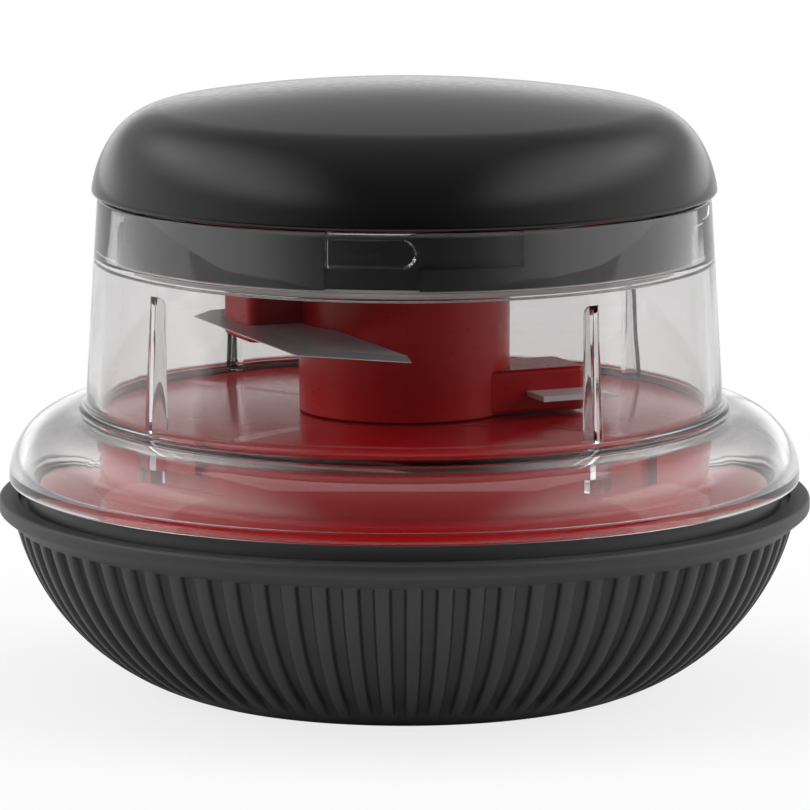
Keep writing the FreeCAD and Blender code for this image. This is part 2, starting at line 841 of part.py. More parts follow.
bush_bore = d.journal_radius + d.running_gap
piece("shaft_bush", turned("shaft_bush", [
    (bush_bore, bush_foot),
    (d.bush_flange, bush_foot),
    (d.bush_flange, boss_foot),
    (d.bush_outer, boss_foot),
    (d.bush_outer, bush_top),
    (bush_bore, bush_top),
]))

# Plunger carrier: skirt, disc and centre tube in one moulding. The tube holds the drive nut and
# the turret on top holds the cap's retainer.

skirt_outer = collar_inner - d.sliding_gap
skirt_inner = stop_radius + d.sliding_gap
skirt_foot = lid_floor_top + d.sliding_gap
skirt_stop = d.guide_outer + d.sliding_gap
disc_foot = d.guide_top + d.disc_gap
disc_top = disc_foot + d.carrier_disc
nut_seat = d.nut_foot + d.nut_height
turret_top = disc_top + d.turret_height
turret_lip_foot = turret_top - d.turret_lip_height
carrier_solid = turned("carrier_solid", [
    (skirt_stop, skirt_foot),
    (skirt_outer, skirt_foot),
    (skirt_outer, disc_foot - 1),
    (skirt_outer - 0.6, disc_foot + 0.4),
    (skirt_outer - 2.1, disc_top),
    (d.turret_radius, disc_top),
    (d.turret_radius, turret_lip_foot),
    (d.turret_radius + d.turret_lip, turret_lip_foot),
    (d.turret_radius + d.turret_lip, turret_top),
    (d.turret_radius - d.turret_wall, turret_top),
    (d.turret_radius - d.turret_wall, disc_top),
    (d.tube_bore, disc_top),
    (d.tube_bore, nut_seat),
    (d.nut_flats / 2 - 0.5, nut_seat),
    (d.nut_flats / 2 - 0.5, d.nut_foot),
    (d.tube_outer, d.nut_foot),
    (d.tube_outer, disc_foot),
    (skirt_inner, disc_foot),
    (skirt_inner, skirt_foot + d.stop_height),
    (skirt_stop, skirt_foot + d.stop_height),
])
keys = [
    block(f"key_{angle}",
          (d.guide_outer - d.key_depth + d.sliding_gap, -key_half, skirt_foot),
          (skirt_inner + 0.4, key_half, disc_foot + 0.4), angle)
    for angle in key_angles
]


def hexagon(name, flats, foot, height):
    """An upright hexagonal prism on the centre line."""
    item = doc.addObject("Part::Prism", name)
    item.Polygon = 6
    bind(item, "Circumradius", flats / math.sqrt(3))
    bind(item, "Height", height)
    bind(item, "Placement.Base.z", foot)
    return item


nut_pocket = hexagon("nut_pocket", d.nut_flats + d.press_gap * 2, d.nut_foot - 1, d.nut_height + 2)
piece("plunger_carrier", cut("plunger_carrier", fused("carrier_with_keys", [carrier_solid] + keys),
                             [nut_pocket]))


# Drive nut: the hexagonal nut that slides along the twisted shaft, and the ring that holds it.

def twisted_bar(name, side, foot, top):
    """A square bar that turns left-handed as it rises. Sections lie at even shares of the lead,
    counted from the plate, so that any two bars with this lead nest."""
    step = d.shaft_lead.value / 48
    first = math.floor(foot.value / step)
    last = math.ceil(top.value / step)
    half = side.value / 2
    wires = []
    for index in range(first, last + 1):
        corners = [Vector(half, half, 0), Vector(-half, half, 0),
                   Vector(-half, -half, 0), Vector(half, -half, 0)]
        turn = FreeCAD.Rotation(Vector(0, 0, 1), -360 * index / 48)
        lifted = [turn.multVec(corner) + Vector(0, 0, index * step) for corner in corners]
        wires.append(Part.makePolygon(lifted + [lifted[0]]))
    bar = Part.makeLoft(wires, True, True)
    slab = Part.makeCylinder(side.value, top.value - foot.value, Vector(0, 0, foot.value))
    item = doc.addObject("Part::Feature", name)
    item.Shape = bar.common(slab)
    return item


flange_foot = nut_seat
ring_foot = flange_foot + d.nut_flange_height
nut_bore = twisted_bar("nut_bore", d.shaft_side + 0.16, d.nut_foot - 1, ring_foot + 1)
nut_blank = fused("nut_blank", [
    hexagon("nut_hexagon", d.nut_flats, d.nut_foot, d.nut_height),
    cylinder("nut_flange", d.nut_flange, flange_foot, d.nut_flange_height),
])
piece("drive_nut", cut("drive_nut", nut_blank, [nut_bore]))
piece("nut_retainer", turned("nut_retainer", [
    (d.bush_outer, ring_foot),
    (d.tube_bore - d.press_gap, ring_foot),
    (d.tube_bore - d.press_gap, ring_foot + d.nut_ring_height),
    (d.bush_outer, ring_foot + d.nut_ring_height),
]))


# Return spring: round wire in an open coil between the lid floor and the plunger's disc.

def biarc(start, start_way, end, end_way):
    """Two circular arcs that join two points and match the way the wire runs at each."""
    chord = end - start
    ways = start_way + end_way
    slope = 2 * (1 - start_way.dot(end_way))
    reach = chord.dot(ways)
    length = (math.sqrt(reach * reach + slope * chord.dot(chord)) - reach) / slope
    first = start + start_way * length
    last = end - end_way * length
    joint = (first + last) * 0.5
    arcs = []
    for low, corner, high in ((start, first, joint), (joint, last, end)):
        mid = (low + high) * 0.5
        half = (high - low).Length / 2
        side = (corner - low).Length
        rise = (corner - mid).Length
        sagitta = half * (side - half) / rise
        arcs.append(Part.Arc(low, mid + (corner - mid).normalize() * sagitta, high).toShape())
    return arcs


coil_low = lid_floor_top.value + d.wire_radius.value + d.running_gap.value
coil_high = disc_foot.value - d.wire_radius.value - d.running_gap.value
turns = int(d.spring_turns.value)
coil_radius = d.spring_radius.value
climb = (coil_high - coil_low) / (turns * 2 * math.pi)


def coil_point(turn_angle):
    """Centre of the wire at an angle from its lower end, and the way it runs there."""
    place = Vector(coil_radius * math.cos(turn_angle), coil_radius * math.sin(turn_angle),
                   coil_low + climb * turn_angle)
    way = Vector(-coil_radius * math.sin(turn_angle), coil_radius * math.cos(turn_angle), climb)
    return place, way.normalize()


wire_path = []
for quarter in range(turns * 4):
    begin, begin_way = coil_point(quarter * math.pi / 2)
    finish, finish_way = coil_point((quarter + 1) * math.pi / 2)
    wire_path += biarc(begin, begin_way, finish, finish_way)
begin, begin_way = coil_point(0)
wire_round = Part.Wire(Part.makeCircle(d.wire_radius.value, begin, begin_way))
spring = doc.addObject("Part::Feature", "return_spring")
spring.Shape = Part.Wire(wire_path).makePipeShell([wire_round], True, False)
piece("return_spring", spring)
samples = [coil_point(step * math.pi / 36)[0] for step in range(turns * 72 + 1)]
coil_gap = min(
    (samples[i] - samples[j]).Length
    for i in range(len(samples)) for j in range(i + 36, len(samples))
) - 2 * d.wire_radius.value
wire_length = math.hypot(coil_radius, climb) * turns * 2 * math.pi
print("return spring least gap", round(coil_gap, 2), "mm, volume against section times length",
      round(spring.Shape.Volume / (math.pi * d.wire_radius.value ** 2 * wire_length), 3))

# Palm cap: the glossy domed shell that the palm pushes, with three hooks that turn under the
# lid's catches to hold it down, and three bosses for the screws of its retainer.

cap_foot = d.cap_rim - 0.5
cap_inner = d.cap_radius - d.cap_wall
side_reach = d.cap_radius - d.side_inset
side_join = d.cap_rim + d.side_rise
crown_reach = d.cap_radius - d.crown_inset
crown_join = d.cap_top - d.crown_sag
crown_round = (crown_reach * crown_reach + d.crown_sag * d.crown_sag) / d.crown_sag / 2
cap_solid = turned("cap_solid", [
    (cap_inner, cap_foot),
    (d.cap_radius - d.cap_bevel, cap_foot),
    (d.cap_radius, d.cap_rim),
    (side_reach, side_join, d.cap_round),
    (crown_reach, crown_join, d.shoulder_round),
    (0, d.cap_top, crown_round),
    (0, d.cap_top - d.cap_wall),
    (crown_reach, crown_join - d.cap_wall, -crown_round),
    (side_reach - across(d.cap_wall, d.side_slope), side_join - along(d.cap_wall, d.side_slope),
     d.cap_wall - d.shoulder_round),
    (cap_inner, d.cap_rim, d.cap_wall - d.cap_round),
])
retainer_foot = disc_top + d.sliding_gap
retainer_top = retainer_foot + d.retainer_height
cap_screw_circle = d.turret_radius + d.turret_lip + d.sliding_gap + d.cap_boss_radius
cap_parts = [cap_solid]
for angle in hook_angles:
    cap_parts.append(sector(f"hook_{angle}", rim_outer + d.sliding_gap, cap_inner + 0.6,
                            d.hook_foot, d.hook_height, angle - d.hook_sweep / 2, d.hook_sweep))
cap_screw_angles = (90, 210, 330)
cap_screw_radius = 1.0
cap_screw_top = crown_join - d.cap_wall + 0.8
for angle in cap_screw_angles:
    cap_parts.append(cylinder(f"cap_boss_{angle}", d.cap_boss_radius, retainer_top,
                              crown_join - d.cap_wall * 0.3 - retainer_top,
                              cap_screw_circle, angle))
cap_pilots = [
    cylinder(f"cap_pilot_{angle}", cap_screw_radius, retainer_top - 1,
             cap_screw_top - retainer_top + 1, cap_screw_circle, angle)
    for angle in cap_screw_angles
]
piece("palm_cap", cut("palm_cap", fused("cap_with_bosses", cap_parts), cap_pilots))

# Cap retainer: a flat ring screwed up to the cap, its inner edge under the turret's lip, so that
# the cap turns on the plunger but can't lift off it.

retainer_inner = d.turret_radius + d.sliding_gap
retainer_outer = cap_screw_circle + d.cap_boss_radius
retainer_blank = turned("retainer_blank", [
    (retainer_inner, retainer_foot),
    (retainer_outer, retainer_foot),
    (retainer_outer, retainer_top),
    (retainer_inner, retainer_top),
])
head_depth = 1.0


def countersunk(name, angle, length):
    """A flat-headed screw from below on the cap's screw circle."""
    head = doc.addObject("Part::Cone", name + "_head")
    bind(head, "Radius1", cap_screw_radius + head_depth)
    bind(head, "Radius2", cap_screw_radius)
    bind(head, "Height", head_depth)
    bind(head, "Placement.Base.x", across(cap_screw_circle, angle))
    bind(head, "Placement.Base.y", along(cap_screw_circle, angle))
    bind(head, "Placement.Base.z", retainer_foot)
    shank = cylinder(name + "_shank", cap_screw_radius, retainer_foot, length,
                     cap_screw_circle, angle)
    return fused(name, [head, shank])


piece("cap_retainer", cut("cap_retainer", retainer_blank, [
    countersunk(f"retainer_hole_{angle}", angle, d.retainer_height + 1)
    for angle in cap_screw_angles
]))
piece("cap_screws", group("cap_screws", [
    countersunk(f"cap_screw_{angle}", angle, cap_screw_top - retainer_foot)
    for angle in cap_screw_angles
]))

# Spiral shaft: the twisted square bar on a round journal, grooved for its clip and drilled for
# the cross pin of the driver.

clip_foot = bush_top + d.sliding_gap
journal_top = clip_foot + d.clip_height + 0.2
clip_core = d.journal_radius - d.clip_groove
pin_level = d.driver_top - d.driver_disc - d.jaw_height / 2
pin_reach = d.driver_boss - 0.1


def cross_bar(name, reach):
    """A cylinder across the centre line at the level of the cross pin."""
    item = doc.addObject("Part::Cylinder", name)
    item.Placement = FreeCAD.Placement(Vector(0, 0, 0), FreeCAD.Rotation(Vector(0, 1, 0), 90))
    bind(item, "Radius", d.cross_pin_radius)
    bind(item, "Height", as_size(reach) * 2)
    bind(item, "Placement.Base.x", -as_size(reach))
    bind(item, "Placement.Base.z", pin_level)
    return item


journal = cylinder("shaft_journal", d.journal_radius, d.shaft_foot, journal_top - d.shaft_foot)
spiral = twisted_bar("shaft_spiral", d.shaft_side, journal_top - 0.5, d.shaft_top)
clip_seat = sector("clip_seat", clip_core, d.journal_radius + 1, clip_foot, d.clip_height, 0, 360)
piece("spiral_shaft", cut("spiral_shaft", fused("shaft_blank", [journal, spiral]),
                          [clip_seat, cross_bar("shaft_pin_hole", d.driver_boss)]))

# Shaft clip and thrust washer: they hold the shaft up and down in the lid's bush.

clip_ring = sector("clip_ring", clip_core + d.press_gap, d.clip_radius, clip_foot + d.press_gap,
                   d.clip_height - d.press_gap * 2, 0, 360)
clip_mouth = sector("clip_mouth", 0.5, d.clip_radius + 1, clip_foot - 1, d.clip_height + 2, 55, 70)
piece("shaft_clip", cut("shaft_clip", clip_ring, [clip_mouth]))
piece("thrust_washer", turned("thrust_washer", [
    (bush_bore, washer_foot),
    (d.washer_radius, washer_foot),
    (d.washer_radius, washer_foot + d.washer_height),
    (bush_bore, washer_foot + d.washer_height),
]))

# Clutch driver: a disc with two jaws, pinned to the shaft. It drops into the hub's socket.

driver_disc_foot = d.driver_top - d.driver_disc
jaw_foot = driver_disc_foot - d.jaw_height
driver_parts = [
    cylinder("driver_disc", d.driver_radius, driver_disc_foot, d.driver_disc),
    cylinder("driver_boss", d.driver_boss, jaw_foot, d.jaw_height + 0.1),
]
for turn in (90, 270):
    driver_parts.append(sector(f"driver_jaw_{turn}", d.jaw_inner, d.driver_radius, jaw_foot,
                               d.jaw_height + 0.1, d.hub_azimuth + turn - d.jaw_sweep / 2,
                               d.jaw_sweep))
driver_bore = cylinder("driver_bore", d.journal_radius + d.press_gap, jaw_foot - 1,
                       d.driver_top - jaw_foot + 2)
piece("clutch_driver", cut("clutch_driver", fused("driver_blank", driver_parts),
                           [driver_bore, cross_bar("driver_pin_hole", d.driver_boss + 0.2)]))
piece("driver_pin", cross_bar("driver_pin", pin_reach))

# Clutch socket: the plate with two jaws in the bottom of the hub's socket.

socket_outer = d.socket_radius - d.press_gap
socket_plate_top = d.socket_floor + d.socket_plate
socket_parts = [cylinder("socket_plate", socket_outer, d.socket_floor, d.socket_plate)]
for turn in (0, 180):
    socket_parts.append(sector(f"socket_jaw_{turn}", d.jaw_inner, socket_outer,
                               socket_plate_top - 0.1,
                               driver_disc_foot - d.sliding_gap - socket_plate_top + 0.1,
                               d.hub_azimuth + turn - d.jaw_sweep / 2, d.jaw_sweep))
piece("clutch_socket", fused("clutch_socket", socket_parts))


# Blades: two flat steel strips with a ground bevel along the outer edge and slanted ends.

def blade(name, level, angle):
    """A blade strip at a level, turned with its arm."""
    owner = doc.addObject("PartDesign::Body", name)
    strip = draw(owner, name + "_outline", "XY_Plane", [
        (d.blade_inner, -d.blade_heel_inner),
        (d.blade_outer, -d.blade_heel_outer),
        (d.blade_outer, d.blade_tip_outer),
        (d.blade_inner, d.blade_tip_inner),
    ], level)
    pad = owner.newObject("PartDesign::Pad", name + "_pad")
    pad.Profile = strip
    bind(pad, "Length", d.blade_thick)
    doc.recompute()
    whole = pad.Shape.Volume
    top = level + d.blade_thick
    ground = draw(owner, name + "_bevel", "XZ_Plane", [
        (d.blade_outer - d.blade_bevel, top),
        (d.blade_outer, level + d.blade_edge),
        (d.blade_outer + 1, level + d.blade_edge),
        (d.blade_outer + 1, top + 1),
        (d.blade_outer - d.blade_bevel, top + 1),
    ])
    bevel = owner.newObject("PartDesign::Pocket", name + "_ground")
    bevel.Profile = ground
    bevel.Midplane = True
    bind(bevel, "Length", d.blade_tip_inner * 3)
    bind(owner, "Placement.Rotation.Angle", angle)
    strip.Visibility = False
    ground.Visibility = False
    doc.recompute()
    if bevel.Shape.Volume > whole - 1:
        raise ValueError(f"{name}: the bevel cut nothing")
    return owner


upper_blade = piece("upper_blade", blade("upper_blade", d.upper_blade_level, d.hub_azimuth))
lower_blade = piece("lower_blade", blade("lower_blade", d.lower_blade_level, d.hub_azimuth + 180))

# Blade hub: a moulded cylinder with a socket on top, a bore for its bush below, and two arms at
# different heights that the blades are moulded into.

hub_foot = d.floor_top + d.sliding_gap + d.running_gap
bush_flange_top = hub_foot + d.bush_flange_height
hub_bore_top = bush_flange_top + d.hub_bush_height
hub_solid = turned("hub_solid", [
    (d.hub_bush_flange, hub_foot),
    (d.hub_radius, hub_foot),
    (d.hub_radius, d.hub_top - edge_round),
    (d.hub_radius - edge_round, d.hub_top, edge_round),
    (d.socket_radius, d.hub_top),
    (d.socket_radius, d.socket_floor),
    (0, d.socket_floor),
    (0, hub_bore_top),
    (d.hub_bush_outer, hub_bore_top),
    (d.hub_bush_outer, bush_flange_top),
    (d.hub_bush_flange, bush_flange_top),
])


def arm(name, foot, height, angle):
    """An arm that leaves the hub to one side, with rounded edges."""
    corner = d.arm_round * 1.3
    owner = padded(name, [
        (d.hub_bush_flange + 0.4, -d.arm_front),
        (d.arm_end - d.arm_round, -d.arm_front),
        (d.arm_end, -d.arm_front - d.arm_round, -d.arm_round),
        (d.arm_end, d.arm_round - d.arm_back),
        (d.arm_end - d.arm_round, -d.arm_back - d.arm_round * 0.3, -corner),
        (d.blade_inner - 3, -d.arm_root),
        (d.hub_bush_flange + 0.4, -d.arm_root),
    ], foot, height)
    pad = owner.Tip
    rounded = owner.newObject("PartDesign::Fillet", name + "_edges")
    rounded.Base = (pad, [f"Edge{i + 1}" for i in range(len(pad.Shape.Edges))])
    bind(rounded, "Radius", d.arm_edge)
    bind(owner, "Placement.Rotation.Angle", angle)
    doc.recompute()
    return owner


hub_blank = fused("hub_blank", [
    hub_solid,
    arm("upper_arm", d.upper_arm_foot, d.upper_arm_height, d.hub_azimuth),
    arm("lower_arm", hub_foot, d.lower_arm_height, d.hub_azimuth + 180),
])
socket_space = cylinder("socket_space", d.socket_radius, d.socket_floor, d.hub_top)
piece("blade_hub", cut("blade_hub", hub_blank, [socket_space, upper_blade, lower_blade]))

# Hub bush: the flanged plain bearing between the hub and the spindle pin.

pin_bore = d.pin_radius + d.running_gap
piece("hub_bush", turned("hub_bush", [
    (pin_bore, hub_foot),
    (d.hub_bush_flange, hub_foot),
    (d.hub_bush_flange, bush_flange_top),
    (d.hub_bush_outer, bush_flange_top),
    (d.hub_bush_outer, hub_bore_top - 0.2),
    (pin_bore, hub_bore_top - 0.2),
]))

doc.recompute()
for item in doc.Objects:
    if "Invalid" in item.State or "Error" in item.State:
        raise ValueError(f"{item.Name}: {item.State}")
for label, item in nodes.items():
    if item.Shape.isNull() or not item.Shape.isValid():
        raise ValueError(f"{label}: no valid shape")
os.makedirs("parts", exist_ok=True)
for label, item in nodes.items():
    item.Shape.exportStep(f"parts/{label}.step")
    box = item.Shape.BoundBox
    print(f"{label:18} solids {len(item.Shape.Solids)} volume {item.Shape.Volume:9.1f}"
          f" z {box.ZMin:6.2f} to {box.ZMax:6.2f} r {box.XMax:6.2f}")
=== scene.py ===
import math

import bmesh
import bpy
from mathutils import Matrix, Vector


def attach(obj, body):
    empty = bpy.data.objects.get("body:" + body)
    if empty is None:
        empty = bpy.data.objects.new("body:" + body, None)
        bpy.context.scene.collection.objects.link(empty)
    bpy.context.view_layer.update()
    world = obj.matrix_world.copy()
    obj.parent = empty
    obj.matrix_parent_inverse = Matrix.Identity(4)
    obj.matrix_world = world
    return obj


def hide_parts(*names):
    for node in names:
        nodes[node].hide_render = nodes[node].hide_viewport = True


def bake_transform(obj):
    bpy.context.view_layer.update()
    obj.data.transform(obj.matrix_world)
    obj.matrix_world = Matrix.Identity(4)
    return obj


# Palm-push food chopper: a domed cap over a clear cup, a red blade hub on a red chopping plate,
# and a ribbed charcoal bowl. Sizes are in millimetres until a mesh is made, angles in degrees
# counter-clockwise from +X seen from above, and the front is -Y.

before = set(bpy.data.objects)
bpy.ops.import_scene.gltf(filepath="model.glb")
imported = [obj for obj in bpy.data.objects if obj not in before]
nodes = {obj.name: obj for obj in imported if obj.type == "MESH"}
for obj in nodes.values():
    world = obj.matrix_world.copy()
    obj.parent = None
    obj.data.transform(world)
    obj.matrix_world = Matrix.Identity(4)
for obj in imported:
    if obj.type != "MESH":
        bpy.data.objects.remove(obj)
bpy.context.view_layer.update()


# Camera: nine degrees above level, a long lens from about a metre away.

CAMERA_RISE = 9.21
CAMERA_REACH = 1.0874
SIGHT = Vector((0.0001, 0.0, 0.04506))

rise = math.radians(CAMERA_RISE)
camera_data = bpy.data.cameras.new("camera")
camera_data.lens = 300.76
camera_data.sensor_width = 36.0
camera_data.clip_start = 0.05
camera_data.clip_end = 20.0
camera = bpy.data.objects.new("camera", camera_data)
bpy.context.scene.collection.objects.link(camera)
toward_camera = Vector((0.0, -math.cos(rise), math.sin(rise)))
camera.location = SIGHT + toward_camera * CAMERA_REACH
camera.rotation_euler = (-toward_camera).to_track_quat("-Z", "Y").to_euler()
bpy.context.scene.camera = camera
bpy.context.scene.view_settings.view_transform = "Standard"


# Studio: a white room with bright side walls and a dim side behind the camera. What the camera
# and clear plastic see straight is plain white, and gloss sees the walls.

def add_node(tree, kind, sockets=None, **settings):
    """Add a node. Settings are its own properties, sockets its inputs: a value, or the output
    that feeds one."""
    node = tree.nodes.new(kind)
    for name, value in settings.items():
        setattr(node, name, value)
    for name, value in (sockets or {}).items():
        if isinstance(value, bpy.types.NodeSocket):
            tree.links.new(value, node.inputs[name])
        else:
            node.inputs[name].default_value = value
    return node


def linear(code):
    """A hex colour as linear RGBA."""
    channels = [int(code[i:i + 2], 16) / 255 for i in (1, 3, 5)]
    return tuple(c / 12.92 if c <= 0.04045 else ((c + 0.055) / 1.055) ** 2.4
                 for c in channels) + (1.0,)


WHITE = (1.0, 1.0, 1.0, 1.0)
world = bpy.data.worlds.new("studio_room")
bpy.context.scene.world = world
world.use_nodes = True
room = world.node_tree
room.nodes.clear()
way = add_node(room, "ShaderNodeTexCoord")
axes = add_node(room, "ShaderNodeSeparateXYZ", {0: way.outputs["Generated"]})
wall_light = add_node(room, "ShaderNodeValToRGB", {0: axes.outputs["Y"]})
wall_light.color_ramp.interpolation = "B_SPLINE"
# Light along the wall, from the front (0) past the sides (0.5) to the back (1).
ROOM_LIGHT = [(0.0, 0.04), (0.03, 0.08), (0.11, 0.3), (0.22, 0.6), (0.35, 0.85), (0.52, 1.0),
              (0.72, 1.05), (0.88, 0.7), (1.0, 0.3)]
stops = wall_light.color_ramp.elements
while len(stops) < len(ROOM_LIGHT):
    stops.new(0.5)
for stop, (reach, light) in zip(stops, ROOM_LIGHT):
    stop.position = reach
    stop.color = (light / 2, light / 2, light / 2, 1.0)
share = add_node(room, "ShaderNodeMapRange", {
    "Value": axes.outputs["Y"], "From Min": -1.0, "From Max": 1.0,
})
room.links.new(share.outputs[0], wall_light.inputs[0])
ceiling = add_node(room, "ShaderNodeMapRange", {
    "Value": axes.outputs["Z"], "From Min": 0.15, "From Max": 0.8, "To Min": 2.0, "To Max": 0.75,
}, interpolation_type="SMOOTHSTEP")
wall_level = add_node(room, "ShaderNodeMath", {
    0: wall_light.outputs["Color"], 1: ceiling.outputs[0],
}, operation="MULTIPLY")
# The high side lights: bright areas at either hand, well above the object.
to_side = add_node(room, "ShaderNodeMath", {0: axes.outputs["X"]}, operation="ABSOLUTE")
beside = add_node(room, "ShaderNodeMapRange", {
    "Value": to_side.outputs[0], "From Min": 0.3, "From Max": 0.8, "To Min": 0.0, "To Max": 1.0,
}, interpolation_type="SMOOTHSTEP")
raised = add_node(room, "ShaderNodeMapRange", {
    "Value": axes.outputs["Z"], "From Min": 0.32, "From Max": 0.6, "To Min": 0.0, "To Max": 1.6,
}, interpolation_type="SMOOTHSTEP")
high_sides = add_node(room, "ShaderNodeMath", {0: beside.outputs[0], 1: raised.outputs[0]},
                      operation="MULTIPLY")
# The foot of the white backdrop, which the flat blades mirror.
low = add_node(room, "ShaderNodeMapRange", {
    "Value": axes.outputs["Z"], "From Min": 0.06, "From Max": 0.24, "To Min": 0.8, "To Max": 0.0,
}, interpolation_type="SMOOTHSTEP")
behind = add_node(room, "ShaderNodeMapRange", {
    "Value": axes.outputs["Y"], "From Min": 0.5, "From Max": 0.9, "To Min": 0.0, "To Max": 1.0,
}, interpolation_type="SMOOTHSTEP")
backdrop = add_node(room, "ShaderNodeMath", {0: low.outputs[0], 1: behind.outputs[0]},
                    operation="MULTIPLY")
wall_and_sides = add_node(room, "ShaderNodeMath", {
    0: wall_level.outputs[0], 1: high_sides.outputs[0],
}, operation="ADD")
room_light = add_node(room, "ShaderNodeMath", {
    0: wall_and_sides.outputs[0], 1: backdrop.outputs[0],
}, operation="ADD")
studio = add_node(room, "ShaderNodeBackground", {
    "Color": WHITE, "Strength": room_light.outputs[0],
})
plain = add_node(room, "ShaderNodeBackground", {"Color": WHITE, "Strength": 1.0})


def straight_on(tree):
    """1 for a ray from the camera, or one that clear plastic passed before any gloss turned it."""
    ray = add_node(tree, "ShaderNodeLightPath")
    unturned = add_node(tree, "ShaderNodeMath", {0: ray.outputs["Glossy Depth"], 1: 0.5},
                        operation="LESS_THAN")
    through = add_node(tree, "ShaderNodeMath", {
        0: ray.outputs["Is Transmission Ray"], 1: unturned.outputs[0],
    }, operation="MULTIPLY")
    straight = add_node(tree, "ShaderNodeMath", {
        0: ray.outputs["Is Camera Ray"], 1: through.outputs[0],
    }, operation="MAXIMUM")
    return straight.outputs[0]


seen = add_node(room, "ShaderNodeMixShader", {
    0: straight_on(room), 1: studio.outputs[0], 2: plain.outputs[0],
})
add_node(room, "ShaderNodeOutputWorld", {"Surface": seen.outputs[0]})


# Softboxes: one tall box at each side, and a wide one overhead that lies behind the object.

def softbox(name, place, target, width, height, watts):
    """A rectangular lamp that faces a point."""
    lamp_data = bpy.data.lights.new(name, "AREA")
    lamp_data.shape = "RECTANGLE"
    lamp_data.size = width
    lamp_data.size_y = height
    lamp_data.energy = watts
    lamp = bpy.data.objects.new(name, lamp_data)
    bpy.context.scene.collection.objects.link(lamp)
    lamp.location = place
    lamp.rotation_euler = (Vector(target) - Vector(place)).to_track_quat("-Z", "Y").to_euler()
    lamp.visible_glossy = False


softbox("softbox_left", (-0.95, -0.1, 0.35), (0, 0, 0.05), 0.5, 0.8, 1.6)
softbox("softbox_right", (0.95, -0.1, 0.35), (0, 0, 0.05), 0.5, 0.8, 1.6)
softbox("softbox_top", (0.0, 0.15, 0.95), (0, 0, 0.05), 0.9, 0.6, 2.2)


# Floor: a matt white sheet that runs out to plain white, so that only the object's own soft shadow
# shows on it.
# Its front end is coloured dark as painted shade.

FLOOR_REACH = 4.0
floor_mesh = bpy.data.meshes.new("studio_floor")
floor_mesh.from_pydata(
    [(-FLOOR_REACH, -FLOOR_REACH, 0), (FLOOR_REACH, -FLOOR_REACH, 0),
     (FLOOR_REACH, FLOOR_REACH, 0), (-FLOOR_REACH, FLOOR_REACH, 0)], [], [(0, 1, 2, 3)])
floor = bpy.data.objects.new("studio_floor", floor_mesh)
bpy.context.scene.collection.objects.link(floor)
paper = bpy.data.materials.new("matt_white_paper")
paper.use_nodes = True
sheet = paper.node_tree
sheet.nodes.clear()
place = add_node(sheet, "ShaderNodeTexCoord")
away = add_node(sheet, "ShaderNodeVectorMath", {0: place.outputs["Object"]}, operation="LENGTH")
fade = add_node(sheet, "ShaderNodeMapRange", {
    "Value": away.outputs["Value"], "From Min": 0.05, "From Max": 0.2, "To Min": 0.8, "To Max": 1.0,
}, interpolation_type="SMOOTHSTEP")
white_share = add_node(sheet, "ShaderNodeMath", {0: straight_on(sheet), 1: fade.outputs[0]},
                       operation="MULTIPLY")
# Painted shade: the sheet's front end is coloured dark to light and gloss, standing in for the
# unlit studio in front, which keeps a pale haze off the red plastic.
floor_axes = add_node(sheet, "ShaderNodeSeparateXYZ", {0: place.outputs["Object"]})
painted_shade_front = add_node(sheet, "ShaderNodeMapRange", {
    "Value": floor_axes.outputs["Y"], "From Min": -0.35, "From Max": -0.16,
    "To Min": 0.0, "To Max": 1.0,
}, interpolation_type="SMOOTHSTEP")
# The sheet's colour: matt white, going to the dark painted shade at its front end.
paper_and_painted_shade = add_node(sheet, "ShaderNodeMix", {
    "Factor": painted_shade_front.outputs[0], 6: linear("#303030"), 7: linear("#f2f2f2"),
}, data_type="RGBA")
matt = add_node(sheet, "ShaderNodeBsdfDiffuse", {"Color": paper_and_painted_shade.outputs[2]})
glow = add_node(sheet, "ShaderNodeEmission", {"Color": WHITE, "Strength": 1.0})
paper_seen = add_node(sheet, "ShaderNodeMixShader", {
    0: white_share.outputs[0], 1: matt.outputs[0], 2: glow.outputs[0],
})
add_node(sheet, "ShaderNodeOutputMaterial", {"Surface": paper_seen.outputs[0]})
floor_mesh.materials.append(paper)


# Palm cap: the glossy domed shell that the palm pushes, moulded in black ABS. Three hooks inside
# its rim turn under the lid, and three bosses take the screws of its retainer.

MM = 0.001


def arc(start, end, radius, steps):
    """Points along an arc after its start, the centre on the left of the way when the radius is
    positive."""
    start, end = Vector(start), Vector(end)
    chord = end - start
    height = math.sqrt(radius * radius - chord.length_squared / 4)
    left = Vector((-chord.y, chord.x)).normalized()
    centre = (start + end) / 2 + left * math.copysign(height, radius)
    begin = start - centre
    sweep = 2 * math.asin(min(1.0, chord.length / 2 / abs(radius))) * math.copysign(1, radius)
    return [centre + Matrix.Rotation(sweep * step / steps, 2) @ begin
            for step in range(1, steps + 1)]


def outline(path):
    """Corners (radius, height), or (radius, height, arc radius, steps) where an arc arrives."""
    points = []
    for i, step in enumerate(path):
        if len(step) > 2:
            points += arc(path[i - 1][:2], step[:2], step[2], step[3])
        else:
            points.append(Vector(step))
    return points


def piece_from(name, made):
    """An object at the origin from an edit mesh in millimetres."""
    bmesh.ops.scale(made, vec=(MM, MM, MM), verts=made.verts)
    mesh = bpy.data.meshes.new(name)
    made.to_mesh(mesh)
    made.free()
    piece = bpy.data.objects.new(name, mesh)
    bpy.context.scene.collection.objects.link(piece)
    return piece


